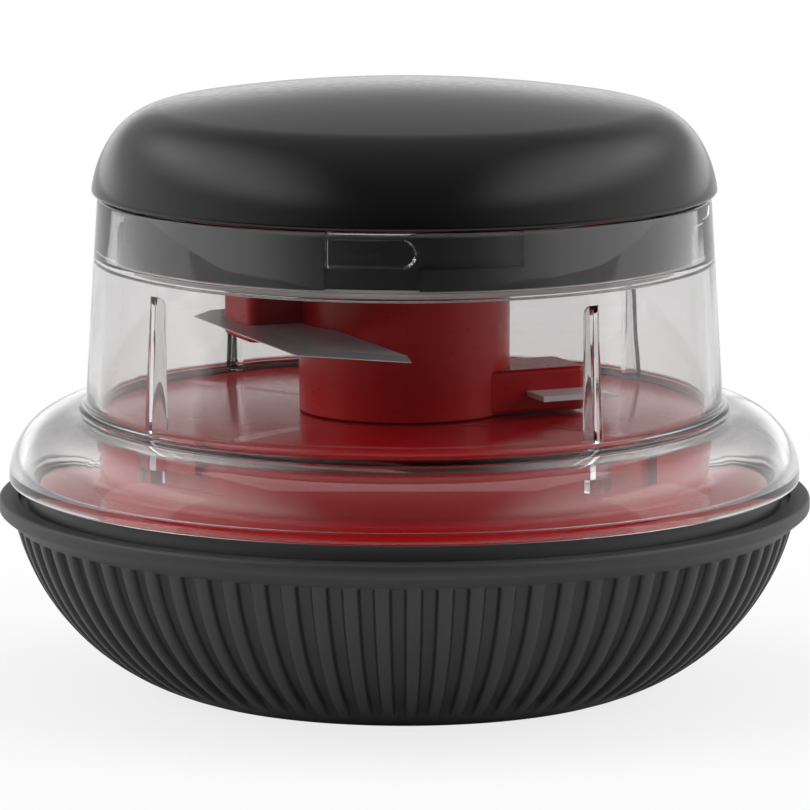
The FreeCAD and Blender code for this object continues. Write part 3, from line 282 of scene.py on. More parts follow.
def turned(name, path, around=192, start=0.0, sweep=360.0):
    """A closed solid: an outline turned about the Z axis, all round or through a sweep."""
    made = bmesh.new()
    points = outline(path)
    whole = sweep >= 360.0
    columns = around if whole else around + 1
    poles = [made.verts.new((0, 0, p.y)) if abs(p.x) < 1e-6 else None for p in points]
    rings = []
    for column in range(columns):
        angle = math.radians(start + sweep * column / around)
        across, along = math.cos(angle), math.sin(angle)
        rings.append([poles[i] or made.verts.new((p.x * across, p.x * along, p.y))
                      for i, p in enumerate(points)])
    for column in range(around):
        near, far = rings[column], rings[(column + 1) % columns]
        for i in range(len(points)):
            j = (i + 1) % len(points)
            corners = list(dict.fromkeys((near[i], far[i], far[j], near[j])))
            if len(corners) > 2:
                made.faces.new(corners)
    if not whole:
        made.faces.new(rings[0])
        made.faces.new(rings[-1])
    bmesh.ops.recalc_face_normals(made, faces=made.faces)
    return piece_from(name, made)


def square(inner, outer, foot, top):
    """The outline of a plain ring, or of a plain disc when the inner radius is 0."""
    return [(inner, foot), (outer, foot), (outer, top), (inner, top)]


def set_out(piece, reach):
    """Move a piece out from the axis along +X."""
    piece.data.transform(Matrix.Translation((reach * MM, 0, 0)))
    return piece


def plain_mesh(piece):
    """Replace an object's mesh by what its modifiers make of it."""
    bpy.context.view_layer.update()
    made = piece.evaluated_get(bpy.context.evaluated_depsgraph_get())
    mesh = bpy.data.meshes.new_from_object(made)
    piece.modifiers.clear()
    piece.data = mesh
    return piece


def joined(piece, tool, operation="UNION"):
    """Add a solid to a piece, or take it out of it."""
    step = piece.modifiers.new("join", "BOOLEAN")
    step.operation = operation
    step.solver = "EXACT"
    step.object = tool
    plain_mesh(piece)
    bpy.data.objects.remove(tool)
    return piece


def smooth(piece, angle=32.0):
    """Shade the surface smooth, with an edge kept where faces meet at more than an angle."""
    piece.data.shade_smooth()
    piece.data.set_sharp_from_angle(angle=math.radians(angle))
    return piece


# The tree that repeats a shape round the Z axis, for hooks, bosses, tabs, grooves, posts and slots.
ring_tree = bpy.data.node_groups.new("repeat_round_axis", "GeometryNodeTree")
panel = ring_tree.interface
panel.new_socket("Geometry", in_out="INPUT", socket_type="NodeSocketGeometry")
count_socket = panel.new_socket("Count", in_out="INPUT", socket_type="NodeSocketInt")
first_socket = panel.new_socket("First angle", in_out="INPUT", socket_type="NodeSocketFloat")
finish_socket = panel.new_socket("Finish", in_out="INPUT", socket_type="NodeSocketMaterial")
panel.new_socket("Geometry", in_out="OUTPUT", socket_type="NodeSocketGeometry")
given = add_node(ring_tree, "NodeGroupInput")
stations = add_node(ring_tree, "GeometryNodePoints", {"Count": given.outputs["Count"]})
index = add_node(ring_tree, "GeometryNodeInputIndex")
pitch = add_node(ring_tree, "ShaderNodeMath", {0: math.tau, 1: given.outputs["Count"]},
                 operation="DIVIDE")
turn = add_node(ring_tree, "ShaderNodeMath", {
    0: index.outputs[0], 1: pitch.outputs[0], 2: given.outputs["First angle"],
}, operation="MULTIPLY_ADD")
spin = add_node(ring_tree, "ShaderNodeCombineXYZ", {"Z": turn.outputs[0]})
copies = add_node(ring_tree, "GeometryNodeInstanceOnPoints", {
    "Points": stations.outputs[0], "Instance": given.outputs["Geometry"],
    "Rotation": spin.outputs[0],
})
real = add_node(ring_tree, "GeometryNodeRealizeInstances", {0: copies.outputs[0]})
dressed = add_node(ring_tree, "GeometryNodeSetMaterial", {
    "Geometry": real.outputs[0], "Material": given.outputs["Finish"],
})
add_node(ring_tree, "NodeGroupOutput", {0: dressed.outputs[0]})


def repeated(piece, count, first, finish=None):
    """Repeat a piece round the Z axis from a first angle, as one plain mesh."""
    step = piece.modifiers.new("repeat", "NODES")
    step.node_group = ring_tree
    step[count_socket.identifier] = count
    step[first_socket.identifier] = math.radians(first)
    step[finish_socket.identifier] = finish
    return plain_mesh(piece)


def moulded(name, colour, roughness, grain, height, specks=0.06, level=0.5):
    """A moulded plastic: a fine tool grain in its gloss and relief, and a slight cloud, about 22
    across, in its colour. Grain and height are in millimetres."""
    finish = bpy.data.materials.new(name)
    finish.use_nodes = True
    tree = finish.node_tree
    tree.nodes.clear()
    spot = add_node(tree, "ShaderNodeTexCoord")
    fine = add_node(tree, "ShaderNodeTexNoise", {
        "Vector": spot.outputs["Object"], "Scale": 1 / (grain * MM), "Detail": 2.0,
    })
    cloud = add_node(tree, "ShaderNodeTexNoise", {
        "Vector": spot.outputs["Object"], "Scale": 45.0, "Detail": 3.0,
    })
    base = linear(colour)
    darker = tuple(c * (1 - specks) for c in base[:3]) + (1.0,)
    lighter = tuple(min(1.0, c * (1 + specks)) for c in base[:3]) + (1.0,)
    tint = add_node(tree, "ShaderNodeMix", {
        "Factor": cloud.outputs["Fac"], 6: darker, 7: lighter,
    }, data_type="RGBA")
    gloss = add_node(tree, "ShaderNodeMapRange", {
        "Value": fine.outputs["Fac"], "From Min": 0.3, "From Max": 0.7,
        "To Min": roughness - 0.03, "To Max": roughness + 0.03,
    })
    relief = add_node(tree, "ShaderNodeBump", {
        "Height": fine.outputs["Fac"], "Strength": 1.0, "Distance": height * MM,
    })
    skin = add_node(tree, "ShaderNodeBsdfPrincipled", {
        "Base Color": tint.outputs[2], "Roughness": gloss.outputs[0],
        "Normal": relief.outputs[0], "IOR": 1.5, "Specular IOR Level": level,
    })
    add_node(tree, "ShaderNodeOutputMaterial", {"Surface": skin.outputs[0]})
    return finish


# Black ABS from a polished tool: near mirror gloss softened by a faint orange peel.
cap_abs = moulded("black_abs_polished_tool", "#0d0d0e", 0.17, 1.4, 0.0008, level=0.4)

cap_radius, cap_foot, cap_rim, cap_top, cap_wall = 50.0, 79.8, 80.3, 96.9, 2.0
side_reach, side_join, side_slope, cap_round = 47.2, 88.15, math.radians(32.4), 18.95
crown_reach, crown_join, shoulder_round = 39.1, 93.55, 12.0
rim_round, rim_turn = 0.6, 0.14
hook_inner, hook_outer, hook_foot, hook_top, hook_sweep = 46.1, 48.6, 80.3, 81.8, 14.0
boss_reach, boss_radius, boss_foot, boss_top = 36.0, 3.0, 91.1, 92.9
pilot_radius, pilot_foot, pilot_top = 1.0, 90.1, 92.35
hook_count, hook_azimuth, boss_azimuth = 3, 30.0, 90.0
crown_sag = cap_top - crown_join
crown_round = (crown_reach ** 2 + crown_sag ** 2) / crown_sag / 2
cap = turned("palm_cap_shell", [
    (cap_radius - cap_wall, cap_foot),
    (cap_radius - rim_round, cap_foot),
    (cap_radius - rim_turn, cap_foot + rim_turn, rim_round, 4),
    (cap_radius, cap_rim, rim_round, 4),
    (side_reach, side_join, cap_round, 24),
    (crown_reach, crown_join, shoulder_round, 32),
    (0, cap_top, crown_round, 24),
    (0, cap_top - cap_wall),
    (crown_reach, crown_join - cap_wall, -crown_round, 12),
    (side_reach - cap_wall * math.cos(side_slope), side_join - cap_wall * math.sin(side_slope),
     cap_wall - shoulder_round, 12),
    (cap_radius - cap_wall, cap_rim, cap_wall - cap_round, 12),
], around=256)
hook = turned("cap_hook", square(hook_inner, hook_outer, hook_foot, hook_top), around=14,
              start=-hook_sweep / 2, sweep=hook_sweep)
boss = set_out(turned("cap_boss", square(0, boss_radius, boss_foot, boss_top), around=32),
               boss_reach)
pilot = set_out(turned("cap_pilot", square(0, pilot_radius, pilot_foot, pilot_top), around=16),
                boss_reach)
joined(cap, repeated(hook, hook_count, hook_azimuth))
joined(cap, repeated(boss, hook_count, boss_azimuth))
joined(cap, repeated(pilot, hook_count, boss_azimuth), "DIFFERENCE")
smooth(cap)
cap.data.materials.clear()
cap.data.materials.append(cap_abs)
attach(cap, "cap")
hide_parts("palm_cap")


# Clear housing: one moulding in SAN, a tapered cup over a bell-shaped skirt. Four ribs stand on
# its inside wall, four tabs hang inside the bell and four lugs carry the lid.

cup_top, cup_top_radius, cup_low_radius, cup_wall = 79.5, 49.1, 51.1, 2.2
rim_foot, bell_level, bell_top, bell_radius = 33.5, 34.2, 45.2, 63.5
bell_round, bell_wall, neck_fillet, rim_height = 11.0, 2.3, 1.2, 1.5
rim_inner, bore_radius, bore_foot, bead_foot, bead_inner = 59.4, 46.9, 69.9, 68.6, 45.6
neck_level = bell_top + neck_fillet
cup_taper = (cup_low_radius - cup_top_radius) / (cup_top - neck_level)
inner_round = bell_round - bell_wall
inner_reach = math.sqrt(inner_round ** 2 - (rim_height - bell_level + rim_foot) ** 2)


def cup_outer(level):
    """Outside radius of the tapered wall."""
    return cup_top_radius + cup_taper * (cup_top - level)


def cup_inner(level):
    """Inside radius of the tapered wall below the bead."""
    return cup_outer(level) - cup_wall


rib_azimuth, rib_half, rib_foot, rib_top, rib_reach = -53.0, 0.8, 44.9, 66.8, 1.7
rib_side, rib_inset, rib_margin, rib_radius = 0.26, 0.18, 0.15, 47.5
rib_inner = cup_inner(rib_top) - rib_reach
lug_azimuth, lug_sweep, lug_foot, lug_top = -96.2, 16.8, 73.8, 78.2
lug_reach, lug_side, lug_margin, lug_step = 1.4, 0.2, 0.2, 0.15


def eased(value):
    """A smooth step from 0 to 1."""
    value = max(0.0, min(1.0, value))
    return value * value * (3 - 2 * value)


def rib_stand(radius, level, angle):
    """How far a rib brings the inside wall inwards at a point."""
    off = (angle - rib_azimuth + 45) % 90 - 45
    across = abs(math.radians(off)) * radius
    if across > rib_half + rib_margin or level < rib_foot or level > rib_top:
        return 0.0
    crown = max(0.0, level - (rib_top - rib_reach))
    full = radius - rib_inner - rib_reach + math.sqrt(max(0.0, rib_reach ** 2 - crown ** 2))
    edge = 1 - eased((across - rib_half + rib_inset) / rib_side)
    return max(0.0, full) * edge


def lug_stand(level, angle):
    """How far a lug, square at one end and round at the other, brings the bore inwards at a
    point."""
    off = math.radians((angle - lug_azimuth + 45) % 90 - 45) * bore_radius
    half = math.radians(lug_sweep / 2) * bore_radius
    end_round = (lug_top - lug_foot) / 2
    rise = abs(level - lug_foot - end_round)
    if off > half - end_round:
        off_edge = end_round - math.hypot(off - half + end_round, rise)
        return lug_reach * eased(off_edge / lug_side)
    return lug_reach * eased((end_round - rise) / lug_side) * eased((off + half) / lug_side)


# The columns of the wall lie close together where a rib or a lug has its sides.
column_step, rib_offsets = 1.5, (0.0, 0.35, 0.55, 0.64, 0.7, 0.76, 0.82, 0.88, 0.95)
lug_columns, lug_rows, lug_overrun = 18, 33, 0.1
wall_columns = {round(step * column_step, 4) for step in range(240)}
for quarter in (0, 90, 180, 270):
    for offset in rib_offsets:
        reach_angle = math.degrees(offset / rib_radius)
        wall_columns |= {round((rib_azimuth + quarter + sign * reach_angle) % 360, 4)
                         for sign in (-1, 1)}
    for step in range(lug_columns):
        inwards = (lug_overrun - step * lug_step) / bore_radius
        reach_angle = lug_sweep / 2 + math.degrees(inwards)
        wall_columns |= {round((lug_azimuth + quarter + sign * reach_angle) % 360, 4)
                         for sign in (-1, 1)}
wall_columns = sorted(wall_columns)

# Edge rounds of the outside, the bore, the bead, the skirt's rim and the inside corners.
outer_edge, bore_edge, bead_edge, rim_edge, inner_edge = 0.6, 0.2, 0.3, 0.15, 0.1
skirt_inner, under_bell = cup_low_radius - cup_wall, bell_top - bell_wall
rim_top = rim_foot + rim_height
rib_rows = [rib_top + 0.05, rib_top - 0.02] + [
    rib_top - rib_reach * (1 - math.cos(math.radians(a))) for a in range(10, 91, 10)]
wall_outline = outline([
    (rim_inner, rim_foot + rim_edge),
    (rim_inner + rim_edge, rim_foot, rim_edge, 3),
    (bell_radius - outer_edge, rim_foot),
    (bell_radius, rim_foot + outer_edge, outer_edge, 6),
    (bell_radius, bell_level),
    (bell_radius - bell_round, bell_top, bell_round, 40),
    (cup_low_radius + neck_fillet, bell_top),
    (cup_low_radius, neck_level, -neck_fillet, 8),
] + [(cup_outer(level), level) for level in (58.0, 69.6)] + [
    (cup_top_radius, cup_top - outer_edge),
    (cup_top_radius - outer_edge, cup_top, outer_edge, 6),
    (bore_radius + bore_edge, cup_top),
    (bore_radius, cup_top - bore_edge, bore_edge, 3),
] + [(bore_radius, lug_top + lug_margin - step * lug_step) for step in range(lug_rows)] + [
    (bore_radius, bore_foot + inner_edge),
    (bore_radius - inner_edge, bore_foot, inner_edge, 2),
    (bead_inner + bead_edge, bore_foot),
    (bead_inner, bore_foot - bead_edge, bead_edge, 4),
    (bead_inner, bead_foot + bead_edge),
    (bead_inner + bead_edge, bead_foot, bead_edge, 4),
    (cup_inner(bead_foot), bead_foot),
] + [(cup_inner(level), level) for level in rib_rows + [62.0, 58.0, 54.0, 50.0, neck_level]] + [
    (skirt_inner, level)
    for level in (bell_top, rib_foot + 0.06, rib_foot + 0.02, rib_foot - 0.04)
] + [
    (skirt_inner, under_bell + inner_edge),
    (skirt_inner + inner_edge, under_bell, inner_edge, 2),
    (bell_radius - bell_round, under_bell),
    (bell_radius - bell_round + inner_reach, rim_top, -inner_round, 32),
    (rim_inner + rim_edge, rim_top),
    (rim_inner, rim_top - rim_edge, rim_edge, 3),
])
same = 0.01
made = bmesh.new()
rows = []
for angle in wall_columns:
    column = []
    for p in wall_outline:
        radius = p.x
        if min(abs(radius - cup_inner(p.y)), abs(radius - skirt_inner)) < same:
            radius -= rib_stand(radius, p.y, angle)
        elif abs(radius - bore_radius) < same:
            radius -= lug_stand(p.y, angle)
        turn_angle = math.radians(angle)
        column.append(made.verts.new((radius * math.cos(turn_angle), radius * math.sin(turn_angle),
                                      p.y)))
    rows.append(column)
for i in range(len(rows)):
    near, far = rows[i], rows[(i + 1) % len(rows)]
    for j in range(len(wall_outline)):
        k = (j + 1) % len(wall_outline)
        made.faces.new((near[j], far[j], far[k], near[k]))
bmesh.ops.recalc_face_normals(made, faces=made.faces)
housing = piece_from("clear_cup_and_bell", made)


def upright_plate(name, corners, half):
    """A closed solid: a flat outline (radius, height) that stands along +X, thick to either
    side."""
    made = bmesh.new()
    rings = [[made.verts.new((x, y, z)) for x, y in corners] for z in (-half, half)]
    for i in range(len(corners)):
        j = (i + 1) % len(corners)
        made.faces.new((rings[0][i], rings[0][j], rings[1][j], rings[1][i]))
    made.faces.new(rings[0][::-1])
    made.faces.new(rings[1])
    bmesh.ops.transform(made, matrix=Matrix.Rotation(math.pi / 2, 4, "X"), verts=made.verts)
    bmesh.ops.recalc_face_normals(made, faces=made.faces)
    return piece_from(name, made)


# A tab hangs under the bell, and its nib points inwards into a slot of the plate.
nib_inner, nib_top, tab_inner, tab_outer, tab_foot, tab_top = 47.4, 40.0, 49.05, 50.55, 37.8, 44.05
tab_count, tab_half = 4, 1.5
tab = upright_plate("housing_tab", [
    (nib_inner, tab_foot), (tab_outer, tab_foot), (tab_outer, tab_top), (tab_inner, tab_top),
    (tab_inner, nib_top), (nib_inner, nib_top),
], tab_half)
joined(housing, repeated(tab, tab_count, rib_azimuth))
smooth(housing, 40.0)

# Clear SAN from a polished tool: water clear, with a faint waviness, about 14 mm long, that breaks
# its reflections. Lamp light and scattered light pass straight through the wall.
san = bpy.data.materials.new("clear_san_moulded")
san.use_nodes = True
clear = san.node_tree
clear.nodes.clear()
spot = add_node(clear, "ShaderNodeTexCoord")
flow = add_node(clear, "ShaderNodeTexNoise", {
    "Vector": spot.outputs["Object"], "Scale": 70.0, "Detail": 1.0,
})
ripple = add_node(clear, "ShaderNodeBump", {
    "Height": flow.outputs["Fac"], "Strength": 1.0, "Distance": 0.00006,
})
plastic = add_node(clear, "ShaderNodeBsdfPrincipled", {
    "Base Color": linear("#e9e8e8"), "Roughness": 0.02, "IOR": 1.57, "Transmission Weight": 1.0,
    "Normal": ripple.outputs[0],
})
let_through = add_node(clear, "ShaderNodeBsdfTransparent", {"Color": linear("#f9f8f8")})
clear_ray = add_node(clear, "ShaderNodeLightPath")
lamp_ray = add_node(clear, "ShaderNodeMath", {
    0: clear_ray.outputs["Is Shadow Ray"], 1: clear_ray.outputs["Is Diffuse Ray"],
}, operation="MAXIMUM")
wall_seen = add_node(clear, "ShaderNodeMixShader", {
    0: lamp_ray.outputs[0], 1: plastic.outputs[0], 2: let_through.outputs[0],
})
add_node(clear, "ShaderNodeOutputMaterial", {"Surface": wall_seen.outputs[0]})
housing.data.materials.clear()
housing.data.materials.append(san)
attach(housing, "housing")
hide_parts("clear_housing")


# Base bowl: a charcoal polypropylene moulding with eighty shallow grooves down its round side and
# a rolled lip. One pitch of the side is modelled and repeated round the axis.

groove_count, groove_depth, groove_foot, groove_head = 80, 1.3, 2.6, 26.8
groove_foot_run, groove_head_run, groove_azimuth = 2.4, 0.5, 3.6
bowl_round, foot_radius, foot_stand = 36.8, 37.4, 0.3
bowl_radius, bowl_shoulder, bowl_wall = 62.5, 26.8, 2.4
seat_inner, seat_outer, seat_top = 31.0, 36.0, 1.9
lip_radius, lip_top, lip_width, ledge, ledge_width = 65.2, 31.0, 3.2, 30.0, 4.8
spigot_inner, spigot_outer, spigot_top, spigot_edge = 59.0, 60.6, 33.2, 0.15
hollow_top, hollow_steps = 25.8, 12
lip_inner = lip_radius - lip_width
ledge_inner = lip_inner - ledge_width
side_run, side_rise = bowl_radius - foot_radius, bowl_shoulder - foot_stand
half_chord = math.hypot(side_run, side_rise) / 2
centre_away = math.sqrt(bowl_round ** 2 - half_chord ** 2)
bowl_centre = (
    (bowl_radius + foot_radius) / 2 - centre_away * side_rise / half_chord / 2,
    (bowl_shoulder + foot_stand) / 2 + centre_away * side_run / half_chord / 2,
)


def bowl_side(level, inset=0.0):
    """Radius of the bowl's round side at a level, a given distance inside its outer face."""
    return bowl_centre[0] + math.sqrt((bowl_round - inset) ** 2 - (level - bowl_centre[1]) ** 2)


# The outline as (radius, level, groove depth). The side's rows lie close together where the
# grooves run out.
side_levels = [0.3, 1.0, 1.7, 2.3, 2.7, 3.1, 3.5, 4.0, 4.5] + list(range(5, 26)) + [
    25.6, 26.0, 26.3, 26.5, 26.65, 26.8]
bowl_outline = [(0.0, foot_stand, 0), (seat_inner - 0.1, foot_stand, 0),
                (seat_inner, foot_stand, 0), (seat_inner, seat_top, 0),
                (seat_outer, seat_top, 0), (seat_outer, foot_stand, 0)]
for level in side_levels:
    low = eased((level - groove_foot) / groove_foot_run)
    high = eased((groove_head - level) / groove_head_run)
    bowl_outline.append((bowl_side(level), level, groove_depth * low * high))
bowl_outline += [(radius, level, 0) for radius, level in (
    (bowl_radius + 0.3, lip_top - 3.95), (lip_radius - 0.4, lip_top - 2.35),
    (lip_radius - 0.1, lip_top - 2.05), (lip_radius, lip_top - 1.7),
    (lip_radius, lip_top - 0.7), (lip_radius - 0.1, lip_top - 0.3),
    (lip_radius - 0.3, lip_top - 0.08), (lip_radius - 0.6, lip_top),
    (lip_inner + 0.3, lip_top), (lip_inner + 0.08, lip_top - 0.08),
    (lip_inner, lip_top - 0.3), (lip_inner, ledge),
    (spigot_outer, ledge), (spigot_outer, spigot_top - spigot_edge),
    (spigot_outer - spigot_edge, spigot_top), (spigot_inner + spigot_edge, spigot_top),
    (spigot_inner, spigot_top - spigot_edge), (spigot_inner, ledge),
    (ledge_inner, ledge), (ledge_inner, ledge - bowl_wall),
)]
for step in range(hollow_steps + 1):
    level = hollow_top + (foot_stand + bowl_wall - hollow_top) * step / hollow_steps
    bowl_outline.append((bowl_side(level, bowl_wall), level, 0))
bowl_outline.append((0.0, foot_stand + bowl_wall, 0))

pitch_angle = 360 / groove_count
# How deep the groove is across one pitch, as shares of the pitch and of the depth.
across_share = [(-0.5, 0), (-0.33, 0), (-0.275, 0.12), (-0.24, 0.6), (-0.205, 0.92), (-0.15, 1),
                (0, 1), (0.15, 1), (0.205, 0.92), (0.24, 0.6), (0.275, 0.12), (0.33, 0), (0.5, 0)]
made = bmesh.new()
columns = []
for share, deep in across_share:
    angle = math.radians(groove_azimuth + share * pitch_angle)
    column = []
    for radius, level, depth in bowl_outline:
        if depth:
            out = Vector((bowl_side(level) - bowl_centre[0], level - bowl_centre[1])).normalized()
            radius -= out.x * depth * deep
            level -= out.y * depth * deep
        column.append(made.verts.new((radius * math.cos(angle), radius * math.sin(angle), level)))
    columns.append(column)
for near, far in zip(columns, columns[1:]):
    for i in range(len(bowl_outline) - 1):
        if i == 0:
            made.faces.new((near[0], far[1], near[1]))
        elif i == len(bowl_outline) - 2:
            made.faces.new((near[i], far[i], near[i + 1]))
        else:
            made.faces.new((near[i], far[i], far[i + 1], near[i + 1]))
bmesh.ops.remove_doubles(made, verts=made.verts, dist=0.0005)
bowl = piece_from("ribbed_bowl", made)

# Charcoal polypropylene from a spark-etched tool: a dull sheen with a fine grain, drawn coarser
# than the real 0.1 mm so that it shows.
bowl_pp = moulded("charcoal_polypropylene_etched_tool", "#2f2f31", 0.46, 0.3, 0.008)
repeated(bowl, groove_count, 0.0, bowl_pp)
made = bmesh.new()
made.from_mesh(bowl.data)
bmesh.ops.remove_doubles(made, verts=made.verts, dist=0.000002)
bmesh.ops.recalc_face_normals(made, faces=made.faces)
made.to_mesh(bowl.data)
made.free()

# Four posts carry the plate, each with a pocket for the head of its screw from below.
post_count, post_reach, post_radius, post_foot, post_top = 4, 24.0, 4.2, 1.3, 10.0
head_radius, head_seat, screw_hole, overrun = 3.0, 7.4, 1.55, 1.0
post = turned("bowl_post", square(0, post_radius, post_foot, post_top), around=32)
joined(bowl, repeated(set_out(post, post_reach), post_count, 0.0))
pocket = turned("bowl_pocket", [
    (0, -overrun), (head_radius, -overrun), (head_radius, head_seat), (screw_hole, head_seat),
    (screw_hole, post_top + overrun), (0, post_top + overrun),
], around=32)
joined(bowl, repeated(set_out(pocket, post_reach), post_count, 0.0), "DIFFERENCE")
smooth(bowl, 50.0)
bowl.data.materials.clear()
bowl.data.materials.append(bowl_pp)
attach(bowl, "base")
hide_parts("base_bowl")


# Chopping plate: a glossy red ABS moulding, a raised drum on a flange. Four slots in the drum's
# edge take the nibs of the clear housing.

# Red ABS from a polished tool: a strong crimson with a clear wet-looking gloss.
red_abs = moulded("red_abs_polished_tool", "#ba0c14", 0.16, 1.2, 0.0008)
drum_radius, drum_inner, floor_top, floor_under = 48.6, 44.8, 44.4, 42.0
flange_radius, flange_top, plate_edge, drum_root = 58.7, 33.2, 0.6, 1.9
plate = turned("red_chopping_plate", [
    (0, floor_top),
    (0, floor_under),
    (drum_inner, floor_under),
    (drum_inner, ledge),
    (flange_radius, ledge),
    (flange_radius, flange_top - plate_edge),
    (flange_radius - plate_edge, flange_top, plate_edge, 6),
    (drum_radius + drum_root, flange_top),
    (drum_radius, flange_top + drum_root, -drum_root, 10),
    (drum_radius, floor_top - plate_edge),
    (drum_radius - plate_edge, floor_top, plate_edge, 6),
], around=256)

# Four posts stand on the bowl's, and a boss in the middle holds the spindle pin.
plate_post_radius, screw_pilot, screw_depth, boss_inside = 3.4, 1.25, 22.4, 43.0
pin_boss_radius, pin_boss_foot, pin_radius, pin_cut = 6.0, 36.0, 3.0, 46.0
plate_post = turned("plate_post", square(0, plate_post_radius, post_top, boss_inside), around=32)
joined(plate, repeated(set_out(plate_post, post_reach), post_count, 0.0))
joined(plate, turned("pin_boss", square(0, pin_boss_radius, pin_boss_foot, boss_inside), around=48))
joined(plate, turned("pin_hole", square(0, pin_radius, pin_boss_foot - overrun, pin_cut),
                     around=48), "DIFFERENCE")
plate_pilot = turned("plate_pilot", square(0, screw_pilot, post_top - overrun, screw_depth),
                     around=16)
joined(plate, repeated(set_out(plate_pilot, post_reach), post_count, 0.0), "DIFFERENCE")

# A slot lets the housing turn to its entry, which is open at the top. The entry's cut is a
# little narrower than the run's, so that the two share no face.
free_turn, slot_play, entry_inset = 14.0, 0.7, 0.1
slot_inner, slot_outer, slot_foot, slot_top = 47.1, 49.6, 37.5, 40.3
entry_foot, entry_top = 38.6, 45.4
slot_half = math.degrees(tab_half / drum_radius) + slot_play
slot_run = turned("slot_run", square(slot_inner, slot_outer, slot_foot, slot_top), around=12,
                  start=-slot_half, sweep=free_turn + slot_half * 2)
slot_entry = turned("slot_entry", square(slot_inner + entry_inset, slot_outer + entry_inset,
                                         entry_foot, entry_top), around=8,
                    start=free_turn - slot_half + entry_inset,
                    sweep=(slot_half - entry_inset) * 2)
joined(plate, repeated(slot_run, tab_count, rib_azimuth), "DIFFERENCE")
joined(plate, repeated(slot_entry, tab_count, rib_azimuth), "DIFFERENCE")
smooth(plate)
plate.data.materials.clear()
plate.data.materials.append(red_abs)
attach(plate, "base")
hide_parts("chopping_plate")


# Foot ring: a soft black elastomer ring, pressed into its seat under the bowl. Its round edges
# grip the worktop.

grip_round = 0.45
foot_ring = turned("soft_foot_ring", [
    (seat_inner, seat_top),
    (seat_inner, grip_round),
    (seat_inner + grip_round, 0.0, grip_round, 5),
    (seat_outer - grip_round, 0.0),
    (seat_outer, grip_round, grip_round, 5),
    (seat_outer, seat_top),
], around=128)
smooth(foot_ring)
# Black elastomer: matt, with a fine pebble that keeps any highlight wide and weak.
foot_ring.data.materials.append(moulded("black_elastomer_matt", "#1d1d1e", 0.72, 0.35, 0.01))
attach(foot_ring, "base")
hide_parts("foot_ring")


# Lid seal: a ring of translucent silicone under the lid's floor. Two thin lips wipe the bead of
# the clear wall.

lid_seal = turned("lip_seal", [
    (43.7, 70.2), (43.7, 69.35), (43.9, 69.2), (44.15, 69.35), (44.35, 69.5), (44.55, 69.3),
    (44.9, 68.95), (45.05, 68.9), (45.2, 69.0), (45.3, 69.35), (45.25, 69.75), (45.3, 70.2),
], around=160)
smooth(lid_seal, 50.0)
# Silicone: a milky grey that light gets into, dull and slightly waxy.
milky = moulded("translucent_silicone", "#b4b5b4", 0.5, 0.5, 0.003)
milky_skin = milky.node_tree.nodes["Principled BSDF"]
milky_skin.inputs["Subsurface Weight"].default_value = 0.35
milky_skin.inputs["Subsurface Scale"].default_value = 0.8 * MM
lid_seal.data.materials.append(milky)
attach(lid_seal, "lid")
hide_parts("lid_seal")


# Lid collar, plunger guide, plunger carrier and cap retainer: satin black ABS mouldings. The
# collar shows through the clear wall, with the tracks that the wall's lugs turn in.

# Black ABS from a fine-blasted tool: dark, with a soft wide sheen.
lid_abs = moulded("black_abs_blasted_tool", "#1a1a1b", 0.34, 0.6, 0.0015)


def coated(names, finish):
    """Give CAD pieces that keep their own mesh a finish."""
    for name in names:
        nodes[name].data.materials.clear()
        nodes[name].data.materials.append(finish)
        for polygon in nodes[name].data.polygons:
            polygon.material_index = 0


coated(("lid_collar", "plunger_guide", "plunger_carrier", "cap_retainer"), lid_abs)


# Blade hub and clutch socket: red ABS mouldings. The hub's two arms hold the blades, and the
# socket is pressed into its top.

# Red ABS, less polished than the plate: the same red under a softer sheen.
hub_abs = moulded("red_abs_satin_tool", "#c00b13", 0.3, 0.7, 0.0004, level=0.35)
coated(("blade_hub", "clutch_socket"), hub_abs)


# Blades: two strips of stainless steel, brushed along their length and moulded into the arms.
# The long edge and the slanted tip are ground from above.

def brushed(name, colour, roughness, along, across, turn, height, metal=1.0):
    """A brushed or ground metal: scratches along one horizontal way, turned by an angle. Their
    length, width and depth are in millimetres. A finish that scatters its light is given as
    less metallic."""
    finish = bpy.data.materials.new(name)
    finish.use_nodes = True
    tree = finish.node_tree
    tree.nodes.clear()
    spot = add_node(tree, "ShaderNodeTexCoord")
    laid = add_node(tree, "ShaderNodeMapping", {
        "Vector": spot.outputs["Object"], "Rotation": (0.0, 0.0, math.radians(-turn)),
    })
    fine, coarse = 1 / (across * MM), 1 / (along * MM)
    stretched = add_node(tree, "ShaderNodeMapping", {
        "Vector": laid.outputs[0], "Scale": (fine, coarse, fine),
    })
    lines = add_node(tree, "ShaderNodeTexNoise", {
        "Vector": stretched.outputs[0], "Scale": 1.0, "Detail": 3.0, "Roughness": 0.6,
    })
    base = linear(colour)
    shade = add_node(tree, "ShaderNodeMix", {
        "Factor": lines.outputs["Fac"], 6: tuple(c * 0.82 for c in base[:3]) + (1.0,), 7: base,
    }, data_type="RGBA")
    gloss = add_node(tree, "ShaderNodeMapRange", {
        "Value": lines.outputs["Fac"], "From Min": 0.3, "From Max": 0.7,
        "To Min": roughness - 0.06, "To Max": roughness + 0.06,
    })
    relief = add_node(tree, "ShaderNodeBump", {
        "Height": lines.outputs["Fac"], "Strength": 1.0, "Distance": height * MM,
    })
    skin = add_node(tree, "ShaderNodeBsdfPrincipled", {
        "Base Color": shade.outputs[2], "Metallic": metal, "Roughness": gloss.outputs[0],
        "Normal": relief.outputs[0],
    })
    add_node(tree, "ShaderNodeOutputMaterial", {"Surface": skin.outputs[0]})
    return finish


hub_azimuth, upper_level, lower_level, blade_thick, blade_edge = 203.1, 58.3, 47.6, 0.9, 0.12
